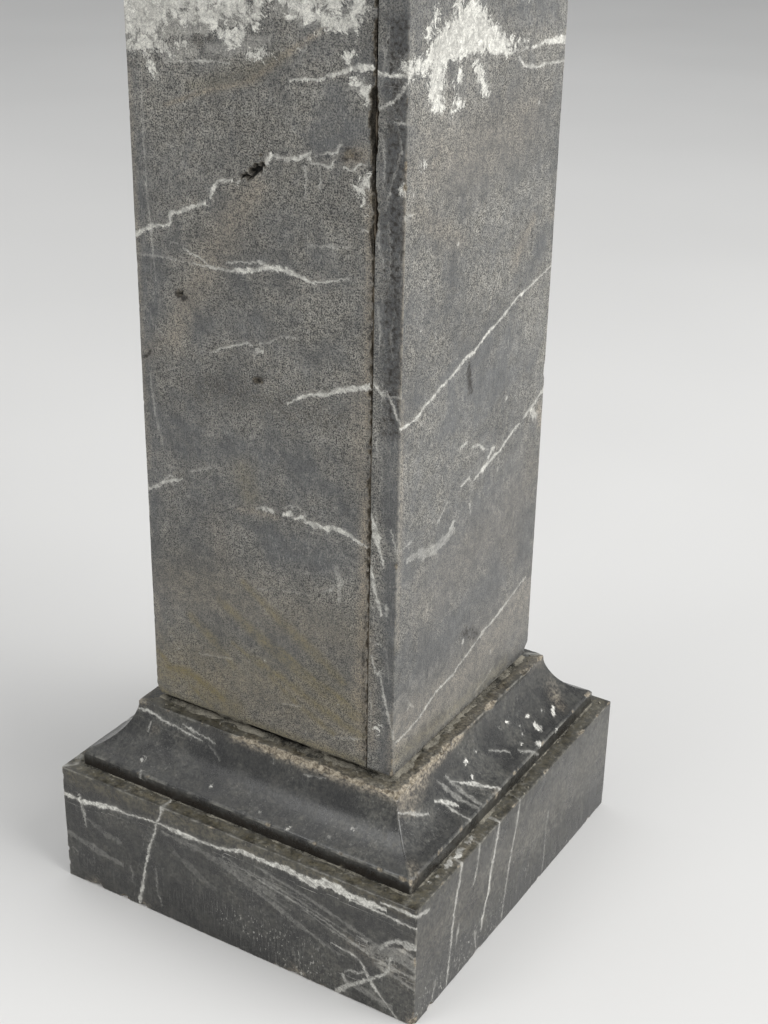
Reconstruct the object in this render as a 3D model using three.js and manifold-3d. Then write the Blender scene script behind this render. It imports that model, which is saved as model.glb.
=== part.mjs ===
// A pedestal column of black marble: a square plinth block, a carved base moulding, a hollow square
// shaft of four slabs glued at their edges, a carved cap moulding and a square top slab.
// Millimetres, +Z up, origin at the centre of the plinth's underside. The front face looks to -Y.

import * as THREE from "three";
import { RoundedBoxGeometry } from "three/addons/geometries/RoundedBoxGeometry.js";
import { mergeVertices } from "three/addons/utils/BufferGeometryUtils.js";
import Module from "manifold-3d";

const wasm = await Module();
wasm.setup();

// Plinth: one solid block
const PLINTH_WIDTH = 300;
const PLINTH_HEIGHT = 97;

// Base moulding: a low fillet, a shallow cove that rises inwards, and a thin fillet under the shaft
const MOULDING_WIDTH = 277;
const MOULDING_TOP_WIDTH = 218;
const MOULDING_HEIGHT = 49.5;
const LOW_FILLET_HEIGHT = 12;
const TOP_FILLET_HEIGHT = 4;
const COVE_RADIUS = 47;
const COVE_STEPS = 14;

// Mortar bed: an open square of mortar set back from the shaft's faces
const BED_HEIGHT = 5.5;
const BED_SET_BACK = 3;
const BED_REACH_IN = 4;
const BED_GAP_FROM = -21;
const BED_GAP_TO = 29;
const BED_GAP_DEPTH = 11;

// Shaft: four slabs round an empty core
const SHAFT_WIDTH = 198;
const SHAFT_HEIGHT = 850;
const SLAB = 20;
const GLUE = 0.5;

// Cap: a plain cove that spreads outwards, then a square slab
const CAP_FOOT_WIDTH = 206;
const CAP_TOP_WIDTH = 252;
const CAP_HEIGHT = 40;
const CAP_FILLET_HEIGHT = 7;
const CAP_COVE_RADIUS = 34;
const CAP_GLUE = 0.5;
const TOP_WIDTH = 268;
const TOP_HEIGHT = 32;

// Worn arrises
const ARRIS = 1.2;
const ARRIS_STEPS = 2;
const MOULDING_ARRIS = 1.5;

// Levels
const MOULDING_BASE = PLINTH_HEIGHT;
const MOULDING_TOP = MOULDING_BASE + MOULDING_HEIGHT;
const SHAFT_BASE = MOULDING_TOP + BED_HEIGHT;
const SHAFT_TOP = SHAFT_BASE + SHAFT_HEIGHT;
const CAP_BASE = SHAFT_TOP + CAP_GLUE;
const CAP_TOP = CAP_BASE + CAP_HEIGHT;

const DOWN = -Math.PI / 2;
const CORNER_TURN = Math.PI / 4;

const honed = new THREE.MeshStandardMaterial({
  color: "#4b4a46",
  roughness: 0.5,
  metalness: 0,
});
const polished = new THREE.MeshStandardMaterial({
  color: "#33332f",
  roughness: 0.35,
  metalness: 0,
});
const mortar = new THREE.MeshStandardMaterial({
  color: "#6f6a5e",
  roughness: 0.95,
  metalness: 0,
});

function solidOf(geometry) {
  const bare = geometry.clone();
  bare.deleteAttribute("normal");
  bare.deleteAttribute("uv");
  const merged = mergeVertices(bare, 1e-4);
  return new wasm.Manifold(
    new wasm.Mesh({
      numProp: 3,
      vertProperties: merged.attributes.position.array,
      triVerts: new Uint32Array(merged.index.array),
    }),
  );
}

function geometryOf(solid) {
  const mesh = solid.getMesh();
  const geometry = new THREE.BufferGeometry();
  geometry.setAttribute("position", new THREE.BufferAttribute(mesh.vertProperties, 3));
  geometry.setIndex(new THREE.BufferAttribute(mesh.triVerts, 1));
  geometry.computeVertexNormals();
  return geometry;
}

// Breaks: each is a hollow left by a flake, given by its middle and its half sizes
function broken(geometry, flakes) {
  let solid = solidOf(geometry);
  for (const { at, size, turn = [0, 0, 0] } of flakes) {
    const flake = new THREE.IcosahedronGeometry(1, 1);
    flake.scale(...size);
    flake.rotateX(turn[0]).rotateY(turn[1]).rotateZ(turn[2]);
    flake.translate(...at);
    solid = solid.subtract(solidOf(flake));
  }
  return geometryOf(solid);
}

// A block with eased arrises that fills the box between two corners
function block(low, high) {
  const size = high.map((value, i) => value - low[i]);
  const middle = high.map((value, i) => (value + low[i]) / 2);
  return new RoundedBoxGeometry(...size, ARRIS_STEPS, ARRIS).translate(...middle);
}

// A square solid from its outline: [half width, height] points from the underside's middle to the top's
function squareTurning(outline) {
  const points = outline.map(([half, z]) => new THREE.Vector2(half * Math.SQRT2, z));
  return new THREE.LatheGeometry(points, 4, CORNER_TURN).rotateX(-DOWN);
}

// Points of a hollow arc between two ends, bulging towards the axis
function cove([fromHalf, fromZ], [toHalf, toZ], radius) {
  const along = new THREE.Vector2(toHalf - fromHalf, toZ - fromZ);
  const rise = Math.sqrt(radius * radius - along.lengthSq() / 4);
  const outward = new THREE.Vector2(along.y, -along.x).normalize();
  const centre = new THREE.Vector2(fromHalf, fromZ)
    .addScaledVector(along, 0.5)
    .addScaledVector(outward, rise);
  const start = Math.atan2(fromZ - centre.y, fromHalf - centre.x);
  const end = Math.atan2(toZ - centre.y, toHalf - centre.x);
  const sweep = THREE.MathUtils.euclideanModulo(end - start + Math.PI, 2 * Math.PI) - Math.PI;
  return Array.from({ length: COVE_STEPS + 1 }, (_, i) => {
    const angle = start + (sweep * i) / COVE_STEPS;
    return [centre.x + radius * Math.cos(angle), centre.y + radius * Math.sin(angle)];
  });
}

function plinth() {
  const half = PLINTH_WIDTH / 2;
  return broken(block([-half, -half, 0], [half, half, PLINTH_HEIGHT]), [
    { at: [-124, -half, 0], size: [8, 3, 4] },
    { at: [-82, -half, 0], size: [4, 2, 3] },
    { at: [half, -half, 55], size: [2, 2, 6] },
    { at: [half, -half, 3], size: [5, 5, 6] },
    { at: [half, 96, PLINTH_HEIGHT], size: [3, 8, 2] },
    { at: [-half, 60, 0], size: [3, 9, 4] },
    { at: [40, half, PLINTH_HEIGHT], size: [10, 3, 3] },
  ]);
}

function baseMoulding() {
  const low = MOULDING_WIDTH / 2;
  const top = MOULDING_TOP_WIDTH / 2;
  const coveFoot = [low - MOULDING_ARRIS, MOULDING_BASE + LOW_FILLET_HEIGHT];
  const coveHead = [top, MOULDING_TOP - TOP_FILLET_HEIGHT];
  const outline = [
    [0, MOULDING_BASE],
    [low, MOULDING_BASE],
    [low, MOULDING_BASE + LOW_FILLET_HEIGHT - MOULDING_ARRIS],
    ...cove(coveFoot, coveHead, COVE_RADIUS),
    [top, MOULDING_TOP],
    [0, MOULDING_TOP],
  ];
  // The front top arris is spalled from its middle to the front corner
  return broken(squareTurning(outline), [
    { at: [-8, -top, MOULDING_TOP], size: [14, 2.5, 4], turn: [0, 0.05, 0.02] },
    { at: [22, -top, MOULDING_TOP - 1], size: [20, 3, 6], turn: [0, 0.06, 0] },
    { at: [50, -top, MOULDING_TOP], size: [18, 3, 5], turn: [0, -0.05, 0.03] },
    { at: [76, -top - 0.5, MOULDING_TOP], size: [16, 2.5, 3.5] },
    { at: [top, -top, MOULDING_TOP], size: [9, 7, 5], turn: [0.1, 0.2, 0.6] },
    { at: [top, -66, MOULDING_TOP], size: [2.5, 16, 3] },
    { at: [top, -40, MOULDING_TOP + 0.5], size: [3, 12, 4] },
    { at: [top, 22, MOULDING_TOP], size: [5, 9, 4] },
    { at: [-top, 40, MOULDING_TOP], size: [3, 11, 3] },
  ]);
}

function mortarBed() {
  const outer = SHAFT_WIDTH / 2 - BED_SET_BACK;
  const inner = SHAFT_WIDTH / 2 - SLAB - BED_REACH_IN;
  const shape = new THREE.Shape([
    new THREE.Vector2(-outer, -outer),
    new THREE.Vector2(BED_GAP_FROM, -outer),
    new THREE.Vector2(BED_GAP_FROM, -outer + BED_GAP_DEPTH),
    new THREE.Vector2(BED_GAP_TO, -outer + BED_GAP_DEPTH),
    new THREE.Vector2(BED_GAP_TO, -outer),
    new THREE.Vector2(outer, -outer),
    new THREE.Vector2(outer, outer),
    new THREE.Vector2(-outer, outer),
  ]);
  const core = new THREE.Path([
    new THREE.Vector2(-inner, -inner),
    new THREE.Vector2(-inner, inner),
    new THREE.Vector2(inner, inner),
    new THREE.Vector2(inner, -inner),
  ]);
  shape.holes.push(core);
  return new THREE.ExtrudeGeometry(shape, {
    depth: BED_HEIGHT,
    bevelEnabled: false,
  }).translate(0, 0, MOULDING_TOP);
}

// The right slab runs the full width of its face, so its edge shows at the front corner. The front and back
// slabs butt against it, and the left slab stands between those two.
const shaftHalf = SHAFT_WIDTH / 2;
const shaftInner = shaftHalf - SLAB;

function rightSlab() {
  return broken(block([shaftInner, -shaftHalf, SHAFT_BASE], [shaftHalf, shaftHalf, SHAFT_TOP]), [
    { at: [shaftHalf, shaftHalf, SHAFT_BASE], size: [6, 6, 7] },
    { at: [shaftHalf, -shaftHalf, SHAFT_BASE], size: [2.5, 2.5, 8] },
    { at: [shaftHalf, shaftHalf, 379], size: [2, 2, 8] },
    { at: [shaftInner, -shaftHalf, 532], size: [2.5, 4, 18] },
    { at: [shaftInner, -shaftHalf, 592], size: [2, 3, 14] },
  ]);
}

function frontSlab() {
  const seam = shaftInner - GLUE;
  return broken(block([-shaftHalf, -shaftHalf, SHAFT_BASE], [seam, -shaftInner, SHAFT_TOP]), [
    { at: [-shaftHalf, -shaftHalf, SHAFT_BASE], size: [3, 3, 6] },
    { at: [-shaftHalf, -shaftHalf, 446], size: [2, 1.5, 6] },
    { at: [seam, -shaftHalf, 528], size: [2, 3, 14] },
    { at: [seam, -shaftHalf, 240], size: [2, 2, 18] },
  ]);
}

function backSlab() {
  const seam = shaftInner - GLUE;
  return block([-shaftHalf, shaftInner, SHAFT_BASE], [seam, shaftHalf, SHAFT_TOP]);
}

function leftSlab() {
  const side = shaftInner - GLUE;
  return block([-shaftHalf, -side, SHAFT_BASE], [-shaftInner, side, SHAFT_TOP]);
}

function capMoulding() {
  const foot = CAP_FOOT_WIDTH / 2;
  const top = CAP_TOP_WIDTH / 2;
  const coveFoot = [foot, CAP_BASE + CAP_FILLET_HEIGHT];
  const coveHead = [top - MOULDING_ARRIS, CAP_TOP - CAP_FILLET_HEIGHT];
  return squareTurning([
    [0, CAP_BASE],
    [foot, CAP_BASE],
    ...cove(coveFoot, coveHead, CAP_COVE_RADIUS),
    [top, CAP_TOP - CAP_FILLET_HEIGHT + MOULDING_ARRIS],
    [top, CAP_TOP],
    [0, CAP_TOP],
  ]);
}

function topSlab() {
  const half = TOP_WIDTH / 2;
  return block([-half, -half, CAP_TOP], [half, half, CAP_TOP + TOP_HEIGHT]);
}

const pedestal = new THREE.Group();

function add(name, geometry, material) {
  const mesh = new THREE.Mesh(geometry, material);
  mesh.name = name;
  pedestal.add(mesh);
}

add("plinth", plinth(), polished);
add("base_moulding", baseMoulding(), polished);
add("mortar_bed", mortarBed(), mortar);
add("shaft_right_slab", rightSlab(), honed);
add("shaft_front_slab", frontSlab(), honed);
add("shaft_back_slab", backSlab(), honed);
add("shaft_left_slab", leftSlab(), honed);
add("cap_moulding", capMoulding(), honed);
add("top_slab", topSlab(), honed);

export default pedestal;
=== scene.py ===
"""Veined black marble pedestal column: plinth, coved base moulding, shaft of four slabs, cap and top."""

import math

import bpy
import numpy as np
from bpy.props import FloatProperty, FloatVectorProperty, IntProperty, PointerProperty
from mathutils import Euler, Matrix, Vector


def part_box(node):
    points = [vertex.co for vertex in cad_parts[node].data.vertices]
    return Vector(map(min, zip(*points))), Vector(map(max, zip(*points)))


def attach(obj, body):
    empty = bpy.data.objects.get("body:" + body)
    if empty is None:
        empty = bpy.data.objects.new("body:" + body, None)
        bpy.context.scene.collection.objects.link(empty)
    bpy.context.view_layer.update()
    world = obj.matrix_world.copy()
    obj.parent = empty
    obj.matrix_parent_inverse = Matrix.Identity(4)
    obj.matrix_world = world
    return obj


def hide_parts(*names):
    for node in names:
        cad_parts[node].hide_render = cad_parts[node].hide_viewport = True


bl_info = {
    "name": "Marble pedestal",
    "version": (1, 0, 0),
    "blender": (4, 5, 0),
    "location": "3D View > Sidebar > Pedestal",
    "description": "Builds a weathered marble pedestal column round its CAD frame",
    "category": "Add Mesh",
}

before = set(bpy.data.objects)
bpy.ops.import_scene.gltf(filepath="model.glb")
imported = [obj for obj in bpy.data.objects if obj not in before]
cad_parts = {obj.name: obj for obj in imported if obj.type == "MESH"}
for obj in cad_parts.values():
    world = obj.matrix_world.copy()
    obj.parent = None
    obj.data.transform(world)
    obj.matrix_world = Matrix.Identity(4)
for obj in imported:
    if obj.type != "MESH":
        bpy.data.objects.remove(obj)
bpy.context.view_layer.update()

MM = 1000.0
TINY = 1e-9
SEED = 20
SIDES = ("front", "right", "back", "left")

# Marks on the stone by piece and side, in millimetres. A run is (across, up, half width) for each of its
# points. Across is x on the front and y on the right; up is the height, or the length up a moulded outline.

# Veins: (strength, *run). The faintest, widest runs on the right faces are no veins but pale veils of painted
# sheen.
VEINS_AND_SHEEN = {
    ("shaft_front_slab", "front"): [
        (1, -103, 488, 1.5, -92, 495, 1.7, -85, 499, 1.8, -75, 501, 1.4, -71, 501, 1, -70, 506, 1.2,
         -69, 510, 1.3, -62, 511, 1.3, -55, 515, 1.6, -48, 518, 1.3, -41, 521, 0.8),
        (0.95, -39, 523, 0.9, -36, 530, 1.5, -33, 535, 1.2, -27, 536.5, 0.8, -20, 538, 0.8),
        (0.9, -19, 535, 0.8, -17, 537, 1.4, -14, 541, 1),
        (1, -1, 546, 1.2, 1, 549, 1.8, 4, 553, 2.1, 9, 558, 1.4),
        (0.95, 9, 558, 1, 12, 556, 1, 20, 556, 1.5, 27, 557, 1.9, 33, 561, 1.1, 35, 556, 0.9, 43, 556, 1,
         49, 555, 1, 50, 558, 0.8, 52, 561, 0.5),
        (0.75, 37, 560, 0.6, 45, 563, 0.7, 52, 564, 0.8, 54, 567, 0.9, 56, 571, 0.6),
        (0.8, 57, 557, 0.6, 63, 555, 0.7, 67, 559, 1, 73, 561, 0.6),
        (0.5, 31, 555, 0.8, 31.5, 545, 1.1, 30.5, 533, 0.6),
        (0.5, 41, 554, 0.8, 41.5, 545, 0.9, 41.5, 541, 0.5),
        (0.45, 30, 506, 0.5, 40, 507, 0.7, 50, 509, 0.8, 62, 510, 0.5),
        (0.95, -52, 480, 0.4, -36, 480, 1, -25, 480, 1.1, -18, 482, 1.5, -10, 483, 1.8, 0, 486, 1.7,
         8, 488, 1.9, 15, 488, 2.2, 22, 487, 1.9, 30, 485, 1.1, 36, 484, 0.9, 42, 485, 0.8, 55, 489, 0.6,
         63, 492, 0.4),
        (0.35, -103, 478, 0.7, -80, 480, 0.6, -50, 480, 0.6),
        (0.7, -29, 484, 0.5, -20, 487, 0.7, -10, 488, 0.8, -2, 490, 0.9, 5, 488, 0.6),
        (0.5, -72, 490, 0.5, -64, 491, 0.5),
        (0.75, -62, 489, 0.9, -58, 487, 0.9, -50, 485, 0.6, -42, 482, 0.5),
        (0.35, -88, 600, 0.4, -88.5, 560, 0.7, -88, 520, 0.8, -87, 510, 0.9, -86, 495, 1, -85, 480, 0.6,
         -84, 462, 0.4),
        (0.3, -92, 400, 0.8, -90.5, 385, 1.2, -89, 370, 0.8, -84, 352, 0.6, -83, 342, 0.4),
        (0.75, -44, 422, 0.5, -35, 427, 0.9, -28, 430, 0.9, -20, 433, 1.2, -12, 436, 0.8, -8, 434, 0.5),
        (1, -8, 432, 1, -4, 432, 1.4, 0, 432.5, 0.9),
        (0.5, -5, 437, 0.6, 0, 438, 0.7, 6, 441, 0.8, 12, 445, 0.7, 24, 447, 0.5),
        (1, 16, 401, 0.5, 25, 407, 1, 32, 411, 1.5, 40, 413, 1.5, 48, 415, 1.9, 55, 419, 2.3, 62, 421, 2.6,
         70, 424, 2.9, 76, 426, 2.6, 83, 427, 2.2),
        (0.8, -103, 310.5, 1.3, -96, 314, 1.4, -90, 318, 1.5, -82, 323, 1.5, -76, 325, 1.3, -70, 327, 1.2,
         -66, 329.5, 0.6),
        (0.6, -85, 323, 0.6, -79, 328, 0.8, -76, 329, 0.5),
        (0.35, -63, 335, 0.8, -50, 340, 0.9, -43, 343.5, 1), (0.7, -10, 322, 1, 0, 325, 2, 7, 323, 1.1),
        (1, 11, 322, 1.1, 18, 326, 1.9, 22, 323, 1.2, 28, 326, 1.7, 31, 323, 1.8, 36, 323, 2.4,
         42, 323, 2.2, 48, 322, 1.7, 51, 325, 2.2, 56, 324, 2, 64, 323, 1.6, 70, 320, 1.2, 80, 317, 0.9),
        (0.55, 12, 328, 0.5, 18, 331, 0.6, 25, 332, 0.6, 30, 330, 0.7, 31, 326, 0.5),
        (1, 19, 601, 0.6, 30, 603, 0.9, 40, 604, 1, 47, 607, 1.1, 54, 609, 1.2, 60, 612, 1.8, 68, 614, 2.4,
         75, 615, 2.6, 83, 612, 2.2),
        (0.7, -69, 602, 0.5, -50, 604, 0.7, -35, 606, 0.7, -20, 606, 0.5), (0.7, 9, 618, 0.6, 17, 618, 0.6),
        (0.6, 25, 620, 0.5, 32, 619, 0.6), (0.3, 22, 608, 0.6, 32, 620, 0.7, 30, 634, 0.6),
        (0.34, -103, 618, 8, -84, 616, 8, -62, 624, 9, -34, 632, 10, -8, 634, 8),
        (0.3, 10, 644, 8, 38, 638, 9, 66, 640, 9), (0.24, -40, 612, 3, -24, 614, 5, -6, 620, 5, 8, 622, 3),
        (0.22, -72, 604, 4, -56, 610, 6, -44, 612, 4), (0.3, 58, 600, 2, 68, 606, 4, 76, 600, 4),
        (0.3, 9, 179, 0.6, 20, 181, 0.8, 28, 183, 0.6), (0.3, 49, 166, 0.6, 60, 169, 0.9, 82, 176, 0.8),
        (0.3, 54, 299, 1.6, 56, 288, 3, 57, 278, 2.2, 56, 270, 0.8),
        (0.35, 43, 275, 0.8, 50, 280, 1.2, 55, 284, 0.8), (0.7, 69, 522, 0.7, 78, 522, 0.8),
        (0.3, -60, 196, 0.7, -30, 201, 0.6), (0.25, -10, 262, 0.5, 12, 268, 0.7, 36, 271, 0.5),
    ],
    ("shaft_right_slab", "front"): [
        (0.4, 83, 580, 0.4, 85, 562, 0.8, 84, 545, 0.4), (0.35, 88, 530, 0.4, 90, 510, 0.7, 89, 492, 0.4),
        (0.4, 87, 640, 0.4, 84, 622, 0.7, 82, 604, 0.4), (0.35, 92, 590, 0.4, 96, 572, 0.7, 93, 560, 0.4),
        (0.4, 81, 530, 0.4, 82, 515, 0.8, 86, 500, 0.4), (0.35, 92, 560, 0.4, 88, 545, 0.7, 86, 536, 0.4),
        (0.3, 82, 440, 0.4, 86, 428, 0.7, 85, 410, 0.4), (0.35, 82, 405, 0.4, 83, 390, 0.9, 84, 372, 0.4),
        (0.3, 94, 480, 0.4, 91, 462, 0.6, 93, 446, 0.4), (0.3, 82, 300, 0.4, 83, 280, 0.7, 82, 262, 0.4),
        (0.4, 80.5, 215, 0.4, 82, 200, 0.8, 81, 180, 0.4), (0.3, 92, 250, 0.4, 94, 236, 0.7, 95, 222, 0.4),
        (0.4, 82, 480, 0.4, 84, 462, 0.8, 83, 446, 0.4), (0.3, 86, 390, 0.4, 87, 370, 0.7, 85, 352, 0.4),
        (0.4, 82, 350, 0.5, 84, 335, 0.9, 83, 322, 0.5), (0.35, 82, 632, 0.5, 84, 620, 0.9, 87, 612, 0.5),
        (1, 76, 613, 1.5, 85, 612, 1.5, 92, 612, 1.4, 103, 614, 2.2),
        (0.9, 102, 616, 1, 99, 610, 1, 94, 602, 1.2, 90, 598, 1.2, 84, 595, 1.1, 77, 589, 0.8),
        (0.65, 89, 586, 0.5, 93, 587, 0.7, 101, 586, 0.8), (0.9, 77, 432, 1.2, 84, 425, 1.2, 88, 421, 0.7),
        (0.65, 86, 424, 0.6, 92, 423, 0.7, 103, 425, 1),
        (0.85, 89, 427, 0.6, 94, 417, 0.9, 97, 410, 1, 102, 403, 1),
        (1, 79, 343, 1, 81.3, 336, 2.4, 82.7, 328, 2.9, 84.6, 322, 2.3, 87, 315, 1.2, 90, 306, 0.5),
        (0.85, 79, 306, 1.2, 81.3, 297, 1.8, 83.3, 288, 1.9, 86, 280, 1.7, 89, 271, 0.8),
        (0.65, 93.5, 336, 0.6, 96, 328, 0.9, 98, 322, 1, 102, 315, 0.8),
        (0.45, 79, 253, 0.6, 85, 250, 0.7, 90, 251, 0.5),
        (0.7, 81, 242, 0.7, 84, 230, 0.8, 86, 227, 0.7, 88, 230, 0.7, 89, 224, 0.8, 91, 214, 0.9,
         94, 203, 0.8, 96, 195, 0.8, 101, 176, 0.7),
        (0.5, 91, 282, 1, 92.5, 277, 2.2, 92, 272, 1), (0.6, 97, 535, 0.6, 102, 532, 1.2),
    ],
    ("shaft_right_slab", "right"): [
        (0.9, -103, 403, 1.2, -80, 404, 1.2, -74, 406, 1.3, -70, 409, 1.5, -60, 411, 1.3, -50, 415, 1.5,
         -40, 417, 1.2, -30, 420, 1.3, -20, 424, 1.7, -15, 425, 1.8, -8, 425, 1.3, 0, 429, 1.4,
         10, 433, 1.3, 20, 435, 1.2, 30, 438, 1, 40, 442, 1, 50, 446, 1.1, 60, 447, 0.9, 70, 449, 1,
         80, 451, 0.9, 90, 453, 0.9, 103, 456, 0.9),
        (0.8, -4, 331, 0.7, 5, 334, 1.4, 12, 336, 1.8, 20, 338, 2, 28, 340, 1.7, 35, 340, 1.2, 42, 344, 1.4,
         50, 347, 1.4, 58, 350, 1.5, 65, 351, 0.8),
        (0.8, 67, 352, 1.1, 75, 355, 1.6, 82, 357, 1.6, 90, 361, 1.7, 103, 367, 2),
        (0.7, -6, 358, 0.7, 3, 357, 0.9, 8, 353, 1, 13, 350, 1.1, 19, 347, 0.6),
        (0.7, 17, 340, 1, 20, 343, 1.7, 24, 346, 2.2, 28, 345, 1.2),
        (0.65, -23, 363, 0.7, -18, 363.5, 1.4, -11, 364, 0.8),
        (0.65, -20, 334, 0.8, -12, 336, 1.3, -6, 337, 0.8),
        (0.45, -50, 320, 0.9, -42, 325, 1.3, -35, 332, 0.8),
        (0.55, -97, 177, 0.8, -80, 178, 1, -65, 180, 1.2, -58, 183, 1.6, -50, 186, 1.8, -42, 189, 1.2,
         -30, 190, 1.1, -18, 191, 1.7, -12, 194, 1.1, 0, 197, 1.2, 10, 200, 1.2, 20, 203, 1.6, 25, 205, 1.7,
         35, 206, 1.4, 45, 208, 1.5, 51, 210, 1.4, 60, 212, 1, 70, 215, 1.1, 80, 218, 1.1, 90, 220, 0.7),
        (0.3, -88, 309, 2, -72, 309, 4, -65, 305, 4.5, -55, 303, 5, -45, 303, 5, -35, 304, 5, -25, 309, 3),
        (0.95, -5, 611, 1.4, 15, 609, 1.5, 22, 607, 1, 33, 608, 0.7), (0.8, 36, 606, 0.7, 46, 608, 0.9),
        (0.95, 49, 607, 0.9, 60, 606, 1.2, 68, 608, 1.3, 78, 606, 1.8, 88, 606, 2.8, 103, 605, 3),
        (0.8, 33, 604, 0.7, 38, 600, 0.9, 43, 596, 1.3, 52, 595, 1.5, 60, 593, 1.1, 70, 594, 0.9,
         85, 592, 0.9, 103, 591, 1),
        (0.25, 13, 158, 0.7, 30, 161, 1, 47, 168, 0.6),
        (0.45, -103, 532, 1.2, -96, 533, 1.2, -88, 534, 0.6),
        (0.35, -97, 320, 0.7, -88, 320, 0.9, -80, 321, 0.5),
        (0.35, -5, 318, 0.8, -4, 312, 1.3, -3.5, 306, 0.7),
        (0.3, -83, 205, 0.8, -77, 197, 1.2, -72, 192, 0.5), (0.5, 79, 354, 2, 85, 350, 4.5, 91, 346, 3),
        # The last run on this line and the run below are painted sheen, not veins: faint pale veils that
        # lighten the face low down and higher up.
        (0.45, -35, 304, 2, -31, 308, 3.5, -26, 314, 1.6), (0.04, -104, 196, 24, 0, 176, 26, 104, 196, 30),
        (0.03, -60, 560, 26, 20, 540, 28, 80, 500, 26),
    ],
    ("plinth", "front"): [
        (1, -154, 74, 1.6, -130, 73, 2.2, -110, 78, 2.3, -100, 79, 2, -90, 78, 1.2, -80, 80, 0.8,
         -60, 82, 0.9, -50, 81, 1.9, -40, 81, 2.2, -30, 81, 1.3, -10, 82, 1.1, 0, 84, 1.7, 10, 87, 2.2,
         30, 87, 2.2, 50, 88, 2.7, 60, 86, 3.6, 70, 86, 3.6, 80, 90, 3.8, 90, 89, 3.6, 100, 88, 4,
         115, 88, 3.4, 128, 88, 2),
        (0.9, 97, 84, 0.8, 112, 84.5, 1, 125, 84, 1, 135, 83, 1, 154, 82, 1.1),
        (0.9, 121, 92, 1, 130, 93, 1.4, 138, 93, 1.3, 154, 92, 1.2),
        (0.8, -57, 110, 1.4, -58, 97, 1.5, -60, 88, 1.3, -63, 82, 1.2, -66, 70, 1.2, -70, 60, 1.1,
         -73, 48, 1.4, -76, 36, 1.4, -79, 20, 1.7, -82, 8, 1.4, -84, -3, 1.3),
        (0.45, -134.5, 80, 1, -133, 70, 2.4, -131, 60, 1.6, -130, 50, 0.5),
        (0.6, 121, 50, 1, 127, 60, 2.2, 135, 66, 2.6, 144, 67, 3.4, 154, 65, 3),
        (0.4, 134, 60, 1, 142, 60, 2, 154, 56, 2.4), (0.3, 128, 52, 1, 140, 50, 1.6, 154, 46, 1.8),
        (0.22, 112, 46, 3, 124, 54, 4.5, 138, 58, 5, 152, 52, 4),
        (0.26, 118, 40, 1, 134, 36, 2, 154, 30, 1.4), (0.22, 96, 14, 2, 112, 12, 4, 134, 8, 3),
        (0.14, -150, 40, 2, -120, 34, 4, -96, 30, 2), (0.12, -60, 76, 2, 0, 70, 4, 40, 60, 3),
        (0.1, -130, 60, 1.5, -112, 52, 4, -96, 50, 2), (0.07, -50, 62, 2, -30, 52, 4, -12, 44, 2),
        (0.16, -20, 74, 1, 20, 60, 2.5, 60, 44, 2.2, 92, 34, 1),
        (0.18, 20, 80, 0.8, 70, 70, 1.6, 120, 56, 2, 150, 48, 1.4),
        (0.7, 131, 52, 0.7, 130, 40, 1, 126, 33, 1.2, 119, 28, 1.4, 112, 22, 1.7, 105, 16, 1.6, 97, 10, 1.9,
         91, 4, 1.9, 87, -3, 1.7),
        (0.7, 83, 42, 0.5, 92, 40, 0.8, 100, 40, 0.9, 107, 37, 1.1, 111, 31, 1.5, 115, 25, 1.7,
         118, 20, 1.2, 124, 14, 1, 130, 8, 0.8, 139, -1, 0.6),
        (0.5, 94, 21, 0.7, 100, 25, 0.9, 106, 25, 1, 112, 30, 0.9),
        (0.45, 93, 20, 1.1, 97, 12, 1.6, 94, 3, 1.4),
        (0.35, -6, 77, 0.5, 20, 70, 0.8, 40, 66, 1, 60, 62, 0.9, 80, 57, 1, 100, 50, 1.2, 120, 44, 1.3,
         154, 40, 1.2),
        (0.2, -6, 72, 0.6, 10, 68, 0.7, 30, 60, 0.8, 52, 54, 0.5),
        (0.22, 15, 73, 0.6, 50, 68, 1.2, 80, 60, 1, 108, 54, 0.5),
        (0.25, 28, 70, 0.6, 60, 66, 1, 72, 62, 0.5),
        (0.3, 60, 60, 0.6, 85, 52, 1, 110, 47, 1.1, 132, 46, 0.6),
        (0.35, 104, 57, 0.8, 108, 56, 1.8, 114, 55, 0.6),
        (0.25, -66, 42, 0.4, -65, 30, 1.2, -66, 20, 0.9, -63, 12, 1, -61, 8, 0.4),
        (0.2, -90, 34, 0.6, -88, 26, 1.4, -89, 18, 0.5), (0.3, -146, 28, 0.7, -139, 24, 0.9),
    ],
    ("plinth", "right"): [
        (0.5, -89, 110, 1.4, -90, 97, 1.6, -92, 85, 1.7, -95, 75, 1.8, -98, 62, 1.6, -100, 50, 1.2,
         -101, 35, 1.2, -103, 20, 1.4, -105, 5, 1.3, -106, -4, 1),
        (0.4, -65, 103, 1.1, -65, 92, 1.3, -67, 80, 1.2, -70, 70, 0.9, -72, 65, 0.4),
        (0.4, -66, 24, 0.7, -65, 12, 1.1, -63, 5, 0.9, -63, -3, 0.8),
        (0.66, -35, 110, 1.5, -36, 97, 1.7, -40, 80, 1.7, -43, 70, 2, -46, 60, 2.3, -48, 45, 2.1,
         -52, 35, 1.8, -55, 25, 1.6, -57, 15, 0.6),
        (0.42, -2, 110, 1, -5, 97, 1.1, -8, 80, 1.3, -12, 65, 1.5, -16, 50, 1.2, -19, 35, 1.2, -23, 15, 1,
         -25, 2, 0.8),
        (0.24, 46, 58, 1.2, 45, 52, 1.5, 43, 40, 0.8, 43, 25, 0.9, 42, 3, 0.7),
        (0.35, -90, 47, 0.8, -92, 40, 1.7, -94, 29, 0.6),
        (0.35, -120, 22, 0.5, -123, 12, 1.1, -126, 3, 0.8),
        (0.5, -153, 93, 1.4, -145, 91, 2.2, -138, 89, 2.4, -132, 87, 0.8),
        # Painted sheen, not a vein: a faint pale veil across the middle of the face, widening towards the
        # back.
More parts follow.
